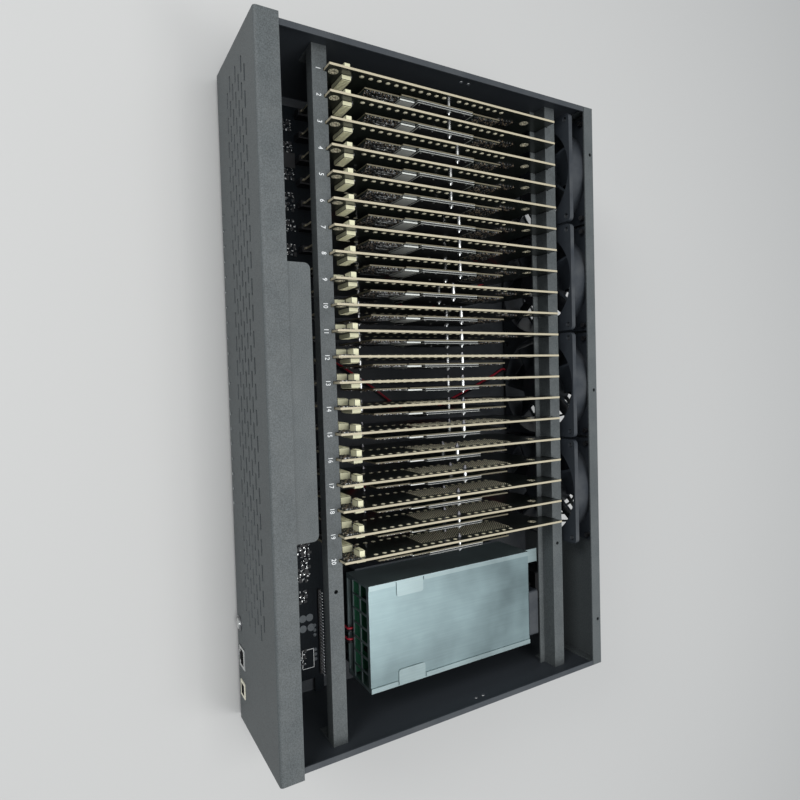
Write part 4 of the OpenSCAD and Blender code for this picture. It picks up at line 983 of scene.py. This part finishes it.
# %% Small parts
def add_small_parts(draft):
    """Tiny parts in fields of a face's x and side, a middle, a width, a height and a seed."""
    fields = [
        (phone_x1, 1, 99, 72, 26, 24, 1), (phone_x1, 1, 194, 73, 20, 22, 2),
        (board_half, 1, 217, 76, 16, 8, 3), (-board_half, -1, 62, 84, 12, 15, 4),
        (-board_half, -1, 74, 64, 6, 12, 5), (phone_x1, 1, 100, 34, 28, 10, 6)]
    kinds = [
        ((0.4, 0.5, 0.3), (0.9, 1.3, 0.7), bright_steel), ((0.6, 0.7, 0.4), (1.1, 1.7, 0.9), brown_ceramic),
        ((1.0, 1.2, 0.5), (2.4, 3.2, 1.0), black_plastic)]
    for x, side, y, z, width, height, seed in fields:
        turn = right_side if side > 0 else left_side
        for k, (smallest, largest, material) in enumerate(kinds):
            mesh = strewn(height, width, 1.7 + 0.7 * k, 10 * seed + k, smallest, largest, material)
            draft.add_mesh(mesh, Matrix.Translation((x, y, z)) @ turn)


print("small parts come from the tree:", strewn_tree.name)

# %% [markdown]
# Now the card is put together. The screw by the pads stands in the twelfth column on some cards and one
# column further on the others, so two meshes are drawn. Each card body gets its own copy of one.

# %% The whole card, and a copy on each body
def card_mesh(screw_column):
    """One card in millimetres, with its middle plane at x = 0."""
    draft = Draft([card_lacquer, board_edge, gold, bright_steel, dark_steel, cream_plastic, black_plastic,
                   phone_lacquer, phone_edge, satin_steel, brown_ceramic, white_ink])
    holes = [ring_points(y, z, hole_r) for y, z in ring_places]
    draft.plate(card_outline, holes, -board_half, board_half, card_lacquer, board_edge)
    add_rings(draft)
    for mesh in pad_rows(screw_column):
        for z in pad_rows_z:
            for side, turn in ((1, right_side), (-1, left_side)):
                draft.add_mesh(mesh, Matrix.Translation((side * board_half, pad_first_y, z)) @ turn @ along_y)
    vias = grid_of(make_via(), via_columns, via_rows, via_pitch)
    draft.add_mesh(vias, Matrix.Translation((-board_half, *via_first)) @ left_side @ along_y)
    add_phone_board(draft, pad_first_y + screw_column * pad_pitch)
    add_small_parts(draft)
    for plug in (tall_plug, wide_plug, small_plug):
        upright_plug(draft, **plug)
    return draft.mesh("card", Matrix.Identity(4))


near_column, far_column = 11, 12
far_screw_cards = (3, 6, 7, 8, 10, 11, 12, 13, 14, 15, 17)
card_meshes = {column: card_mesh(column) for column in (near_column, far_column)}
for number in range(1, card_count + 1):
    mesh = card_meshes[far_column if number in far_screw_cards else near_column].copy()
    mesh.transform(into_case @ Matrix.Translation((first_card_x + (number - 1) * card_pitch, 0, 0)))
    name = f"card_{number:02d}"
    new_piece(f"{name}_dressed", mesh, name, "card_board", name)
print("faces on a card:", len(card_meshes[near_column].polygons))


# %% [markdown]
# White numbers are printed on the front rail, one beside each slot, and smaller ones under the lights.
# Text objects give the shapes. They become thin meshes that lie just on the paint.

# %% Printed numbers and marks
cap_share, ink_half = 0.7, 0.02


def text_mesh(word, height, condensed=0.85):
    """A word as a flat mesh in millimetres, centred, reading along X with its top towards Y."""
    curve = bpy.data.curves.new("word", "FONT")
    curve.body = word
    curve.size = height / cap_share
    curve.align_x, curve.align_y = "CENTER", "CENTER"
    curve.extrude = ink_half
    curve.resolution_u = 3
    holder = bpy.data.objects.new("word", curve)
    bpy.context.scene.collection.objects.link(holder)
    mesh = bpy.data.meshes.new_from_object(holder.evaluated_get(bpy.context.evaluated_depsgraph_get()))
    bpy.data.objects.remove(holder)
    mesh.transform(Matrix.Diagonal((condensed, 1, 1, 1)))
    mesh.materials.clear()
    mesh.materials.append(white_ink)
    return mesh


def printed(name, words):
    """One piece from several words, each with its place."""
    draft = Draft([white_ink])
    for mesh, place in words:
        draft.add_mesh(mesh, place)
    return new_piece(name, draft.mesh(name), "chassis", "steel")


print("thickness of the ink in millimetres:", 2 * ink_half)

# %% [markdown]
# The numbers on the rail lie flat. Those under the lights stand on the front face, with a mark for the
# button and one for the network socket.

# %% The numbers and marks
ink_lift = 0.03
rail_z, rail_text_y, rail_digit_h = 85.0, 48.4, 3.5
light_x, light_pitch, light_text_z, light_digit_h = -143.0, 11.66, 4.4, 1.7
mark_z, mark_h, button_x = 2.9, 1.9, 171.9
upright = Matrix.Rotation(math.radians(90), 4, "X")


def on_rail(n):
    return Matrix.Translation((first_card_x + n * card_pitch, rail_text_y, rail_z + ink_lift))


def on_face(x, z):
    return Matrix.Translation((x, -ink_lift, z)) @ upright


printed("rail_numbers", [(text_mesh(str(n + 1), rail_digit_h), on_rail(n)) for n in range(card_count)])
printed("light_numbers", [
    (text_mesh(str(n + 1), light_digit_h), on_face(light_x + n * light_pitch, light_text_z))
    for n in range(card_count)])
marks = (("ON/OFF", button_x), ("LAN", network_place[0]))
printed("port_marks", [(text_mesh(word, mark_h), on_face(x, mark_z)) for word, x in marks])
print("numbers on the rail and under the lights:", card_count)


# %% [markdown]
# The hub board shows in two gaps between the front flange and the front rail. Its small parts are
# strewn there in clusters, with a few larger blocks, solder blobs and a printed outline among them.

# %% Parts of the hub board
hub_fields = (
    (-221, 52, 8, 7), (-203, 52, 9, 8), (-184, 53, 12, 8), (-160, 53, 14, 8), (-141, 53, 9, 8),
    (-122, 53, 9, 7), (-101, 53, 12, 9), (122, 52, 10, 8), (145, 53, 11, 9), (163, 53, 9, 6),
    (130, 56, 30, 7), (214, 51, 12, 5))
first_hub_seed = 31
blob_places, blob_r, blob_h = ((181.5, 52), (190, 52), (181.5, 58), (190, 59)), 3.1, 0.12
drop_groups_x, drop_y, drop_pitch, drop_r, drop_tip, drop_h = (189.1, 209.5), 62.2, 4, 1.5, 0.7, 0.7
frame_x, frame_y, line_w, line_h = (208, 224), (50.5, 60.8), 0.4, 0.05


def hub_parts():
    """Strewn parts in the fields of a middle, a width and a depth, with blobs, drops and an outline."""
    draft = Draft([bright_steel, black_plastic, white_ink, dull_tin])
    kinds = [((0.4, 0.6, 0.3), (0.9, 1.5, 0.8), bright_steel), ((0.4, 0.6, 0.2), (0.9, 1.4, 0.5), white_ink),
             ((0.6, 0.8, 0.4), (1.4, 2.0, 0.8), dull_tin), ((1.4, 1.6, 0.5), (3.4, 3.8, 1.1), black_plastic)]
    for n, (x, y, width, depth) in enumerate(hub_fields):
        seed = 10 * (first_hub_seed + n)
        for k, (smallest, largest, material) in enumerate(kinds):
            mesh = strewn(width, depth, 3.0 + 0.4 * k, seed + k, smallest, largest, material)
            draft.add_mesh(mesh, Matrix.Translation((x, y, board_z)))
    for x, y in blob_places:
        draft.disc((x, y, board_z), (0, 0, 1), blob_r, blob_h, dull_tin, 24)
    for group_x in drop_groups_x:
        for k in range(3):
            middle = (group_x + drop_pitch * k, drop_y, board_z)
            draft.disc(middle, (0, 0, 1), drop_r, drop_h, dull_tin, 18, drop_tip)
    x0, x1, y0, y1 = *frame_x, *frame_y
    for low, high in (((x0, y0), (x1, y0 + line_w)), ((x0, y1 - line_w), (x1, y1)),
                      ((x0, y0), (x0 + line_w, y1)), ((x1 - line_w, y0), (x1, y1))):
        draft.box((*low, board_z), (*high, board_z + line_h), white_ink)
    return draft.mesh("hub_parts")


hub_piece = new_piece("hub_parts", hub_parts(), "chassis", "circuit_board")
print("faces on the hub board:", len(hub_piece.data.polygons))


# %% [markdown]
# Every screw head has a cross recess. One screw is drawn with its head towards X, its shank and its nut,
# and the third tree copies it onto the places where the real screws are.

# %% One screw and its copies
rim_share, crown_share, cross_share, slot_share, nut_share = 0.4, 0.93, 0.55, 0.13, 1.6


def cross_outline(a, b):
    """A cross with arms of reach a and half width b."""
    return [(a, b), (b, b), (b, a), (-b, a), (-b, b), (-a, b),
            (-a, -b), (-b, -b), (-b, -a), (b, -a), (b, -b), (a, -b)]


def screw_pattern(shank_r, head_r, head_h, length, nut_x=None):
    """A screw along X: its head's seat is at x = 0 and its head points to positive X."""
    draft = Draft([dark_steel])
    rim_h = head_h * rim_share
    draft.disc((0, 0, 0), (1, 0, 0), head_r, rim_h, dark_steel, 28)
    recess = cross_outline(head_r * cross_share, head_r * slot_share)
    draft.plate(ring_points(0, 0, head_r * crown_share, 28), [recess], rim_h, head_h, dark_steel, dark_steel)
    draft.disc((0, 0, 0), (-1, 0, 0), shank_r, length, dark_steel, 20)
    if nut_x is not None:
        draft.disc((-nut_x, 0, 0), (-1, 0, 0), 2 * shank_r, nut_share * shank_r, dark_steel, 6)
    return draft.mesh("screw", Matrix.Identity(4))


def screws_at(pattern_mesh, places):
    """Copies of a screw on places in millimetres, all turned alike."""
    points = bpy.data.meshes.new("places")
    points.from_pydata(places, [], [])
    pattern = source_object("screw_pattern", pattern_mesh)
    mesh = run_tree(points_tree, points, Source=pattern, Material=dark_steel)
    bpy.data.objects.remove(pattern)
    return mesh


print("corners of a cross recess:", len(cross_outline(cross_share, slot_share)))

# %% [markdown]
# Two screws on each side hold the rails to the side walls. The rear panel has four screws for each fan
# and two for the mains inlet. The pattern is the same, so only the sizes and the turn change.

# %% Screws of the walls and the rear panel
wall_x, wall_screw_z, wall_screw_y = 246.5, 72.5, (49.5, 262.7)
draft = Draft([dark_steel])
wall_screw = screw_pattern(shank_r=1.5, head_r=2.8, head_h=1.6, length=9.6, nut_x=2.4)
right_screws = screws_at(wall_screw, [(wall_x, y, wall_screw_z) for y in wall_screw_y])
left_screws = screws_at(wall_screw, [(wall_x, -y, wall_screw_z) for y in wall_screw_y])
draft.add_mesh(right_screws, Matrix.Identity(4))
draft.add_mesh(left_screws, Matrix.Rotation(math.pi, 4, "Z"))
new_piece("wall_screws", draft.mesh("wall_screws"), "chassis", "steel", "rail_screws")

first_fan_x, fan_pitch, fan_z, fan_hole_half = -193.8, 94.3, 50.4, 41.25
fan_centres = [first_fan_x + fan_pitch * n for n in range(4)]
back_y, inlet_hole_half = 300.0, 20
ix, iz = inlet_place
fan_screw = screw_pattern(shank_r=2.0, head_r=3.5, head_h=2.0, length=9.2)
inlet_screw = screw_pattern(shank_r=1.5, head_r=2.8, head_h=2.0, length=7.2)
to_back = Matrix.Rotation(math.pi / 2, 4, "Z")
fan_places = [(back_y, -(x + sx * fan_hole_half), fan_z + sz * fan_hole_half)
              for x in fan_centres for sx in (-1, 1) for sz in (-1, 1)]
inlet_places = [(back_y, -(ix + side * inlet_hole_half), iz) for side in (-1, 1)]
draft = Draft([dark_steel])
draft.add_mesh(screws_at(fan_screw, fan_places), to_back)
draft.add_mesh(screws_at(inlet_screw, inlet_places), to_back)
new_piece("rear_panel_screws", draft.mesh("rear_panel_screws"), "chassis", "steel", "rear_screws")
print("screws:", 2 * len(wall_screw_y) + len(fan_places) + len(inlet_places))

# %% [markdown]
# The wires keep the routes of the imported model. Each is one open curve, smoothed between its points.

# %% A smooth line through points
def smoothed(points, steps=8):
    """A smooth line through all points, never below the lowest of them."""
    ends = [points[0], *points, points[-1]]
    lowest = min(p.z for p in points)
    line = []
    for k in range(1, len(ends) - 2):
        a, b, c, d = ends[k - 1:k + 3]
        for step in range(steps):
            t = step / steps
            curved = (2 * a - 5 * b + 4 * c - d) * t * t + (3 * b - a - 3 * c + d) * t ** 3
            p = 0.5 * ((2 * b) + (c - a) * t + curved)
            line.append(Vector((p.x, p.y, max(p.z, lowest))))
    return [*line, points[-1]]


print("points of one smoothed stretch:", len(smoothed([Vector((0, 0, 0)), Vector((0, 0, 1))])))

# %% [markdown]
# A cord is a round curve that rides on the chassis in place of an imported lead.

# %% A cord
cord_roundness = 4


def lay_cord(name, points, diameter, material, replaced):
    """A round cord along points of the case."""
    line = smoothed([at(*p) for p in points])
    curve = bpy.data.curves.new(name, "CURVE")
    curve.dimensions = "3D"
    curve.bevel_depth = diameter * MM / 2
    curve.bevel_resolution = cord_roundness
    curve.use_fill_caps = True
    spline = curve.splines.new("POLY")
    spline.points.add(len(line) - 1)
    for point, place in zip(spline.points, line):
        point.co = (*place, 1)
    curve.materials.append(material)
    piece = bpy.data.objects.new(name, curve)
    bpy.context.scene.collection.objects.link(piece)
    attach(piece, "chassis")
    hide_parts(replaced)


print("resolution of a cord's edge:", cord_roundness)

# %% [markdown]
# Each fan has a red and a black wire to its plug on the hub board. Two pairs run from the supply to the
# terminal block, and the mains cord runs inside the supply from the inlet to its board.

# %% The routes
wire_d, mains_d = 1.8, 6.0
fan_y, plug_y, inlet_y = 273.8, 84.8, 300.0
terminal_x, terminal_y, supply_lead_x, lead_gap = 189.0, 77.5, 4.4, 1.1
lead_x = (-15, -15, -7, 16, 24, 16, -3, -22, -22)
lead_y_share = (1, 0.975, 0.895, 0.6, 0.472, 0.345, 0.202, 0.0275, 0)
lead_z = (5.3, 5.3, 3.48, 3.48, 3.48, 3.48, 3.48, 10, 10)
dc_points = ((83.0, 41.1), (78.4, 40.8), (77.5, 36), (77.5, 14.6))
mains_points = ((0, -23.2, 30), (0, -30, 30), (-3, -38, 31), (-9, -44, 34), (-17, -49, 40), (-23, -52, 45),
                (-25.6, -56, 48.5), (-25.6, -62.5, 48.5))
colors = ((-lead_gap, "red", red_jacket, "red_wire"), (lead_gap, "black", black_jacket, "black_wire"))
for shift, color, jacket, slot in colors:
    for n, x in enumerate(fan_centres):
        route = [(x + dx + shift, plug_y + share * (fan_y - plug_y), z)
                 for dx, share, z in zip(lead_x, lead_y_share, lead_z)]
        lay_cord(f"fan_{n + 1}_{color}_wire", route, wire_d, jacket, f"{color}_leads")
    for side, where in ((-supply_lead_x, "left"), (supply_lead_x, "right")):
        route = [(terminal_x + side + shift, y, z) for y, z in dc_points]
        lay_cord(f"supply_{color}_wire_{where}", route, wire_d, jacket, f"{color}_leads")
route = [(ix + x, inlet_y + y, z) for x, y, z in mains_points]
lay_cord("mains_cord", route, mains_d, black_jacket, "mains_lead")


# %% [markdown]
# The network socket has eight sprung contacts, and the terminal block that the supply's wires reach has
# four screws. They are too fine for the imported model.

# %% Contacts and terminal screws
contact_count, contact_row, contact_half_w, contact_y = 8, 8.8, 0.2, (3.0, 12.5)
contact_z = (network_place[1] + 2.9, network_place[1] + 3.25)
screw_count, screw_pitch, screw_r, screw_h, screw_offset = 4, 5.5, 1.9, 0.5, 2
slot_half_l, slot_half_w, slot_t = 1.6, 0.2, 0.02
terminal_top = board_z + 10


def fine_metal():
    draft = Draft([gold, bright_steel, black_plastic])
    for k in range(contact_count):
        x = network_place[0] - contact_row / 2 + k * contact_row / (contact_count - 1)
        low = (x - contact_half_w, contact_y[0], contact_z[0])
        draft.box(low, (x + contact_half_w, contact_y[1], contact_z[1]), gold)
    y = terminal_y - screw_offset
    head_z = terminal_top + screw_h
    for k in range(screw_count):
        x = terminal_x + (k - (screw_count - 1) / 2) * screw_pitch
        draft.disc((x, y, terminal_top), (0, 0, 1), screw_r, screw_h, bright_steel, 20)
        low = (x - slot_half_l, y - slot_half_w, head_z)
        draft.box(low, (x + slot_half_l, y + slot_half_w, head_z + slot_t), black_plastic)
    return draft.mesh("fine_metal")


new_piece("fine_metal", fine_metal(), "chassis", "steel")
print("contacts:", contact_count, "terminal screws:", screw_count)
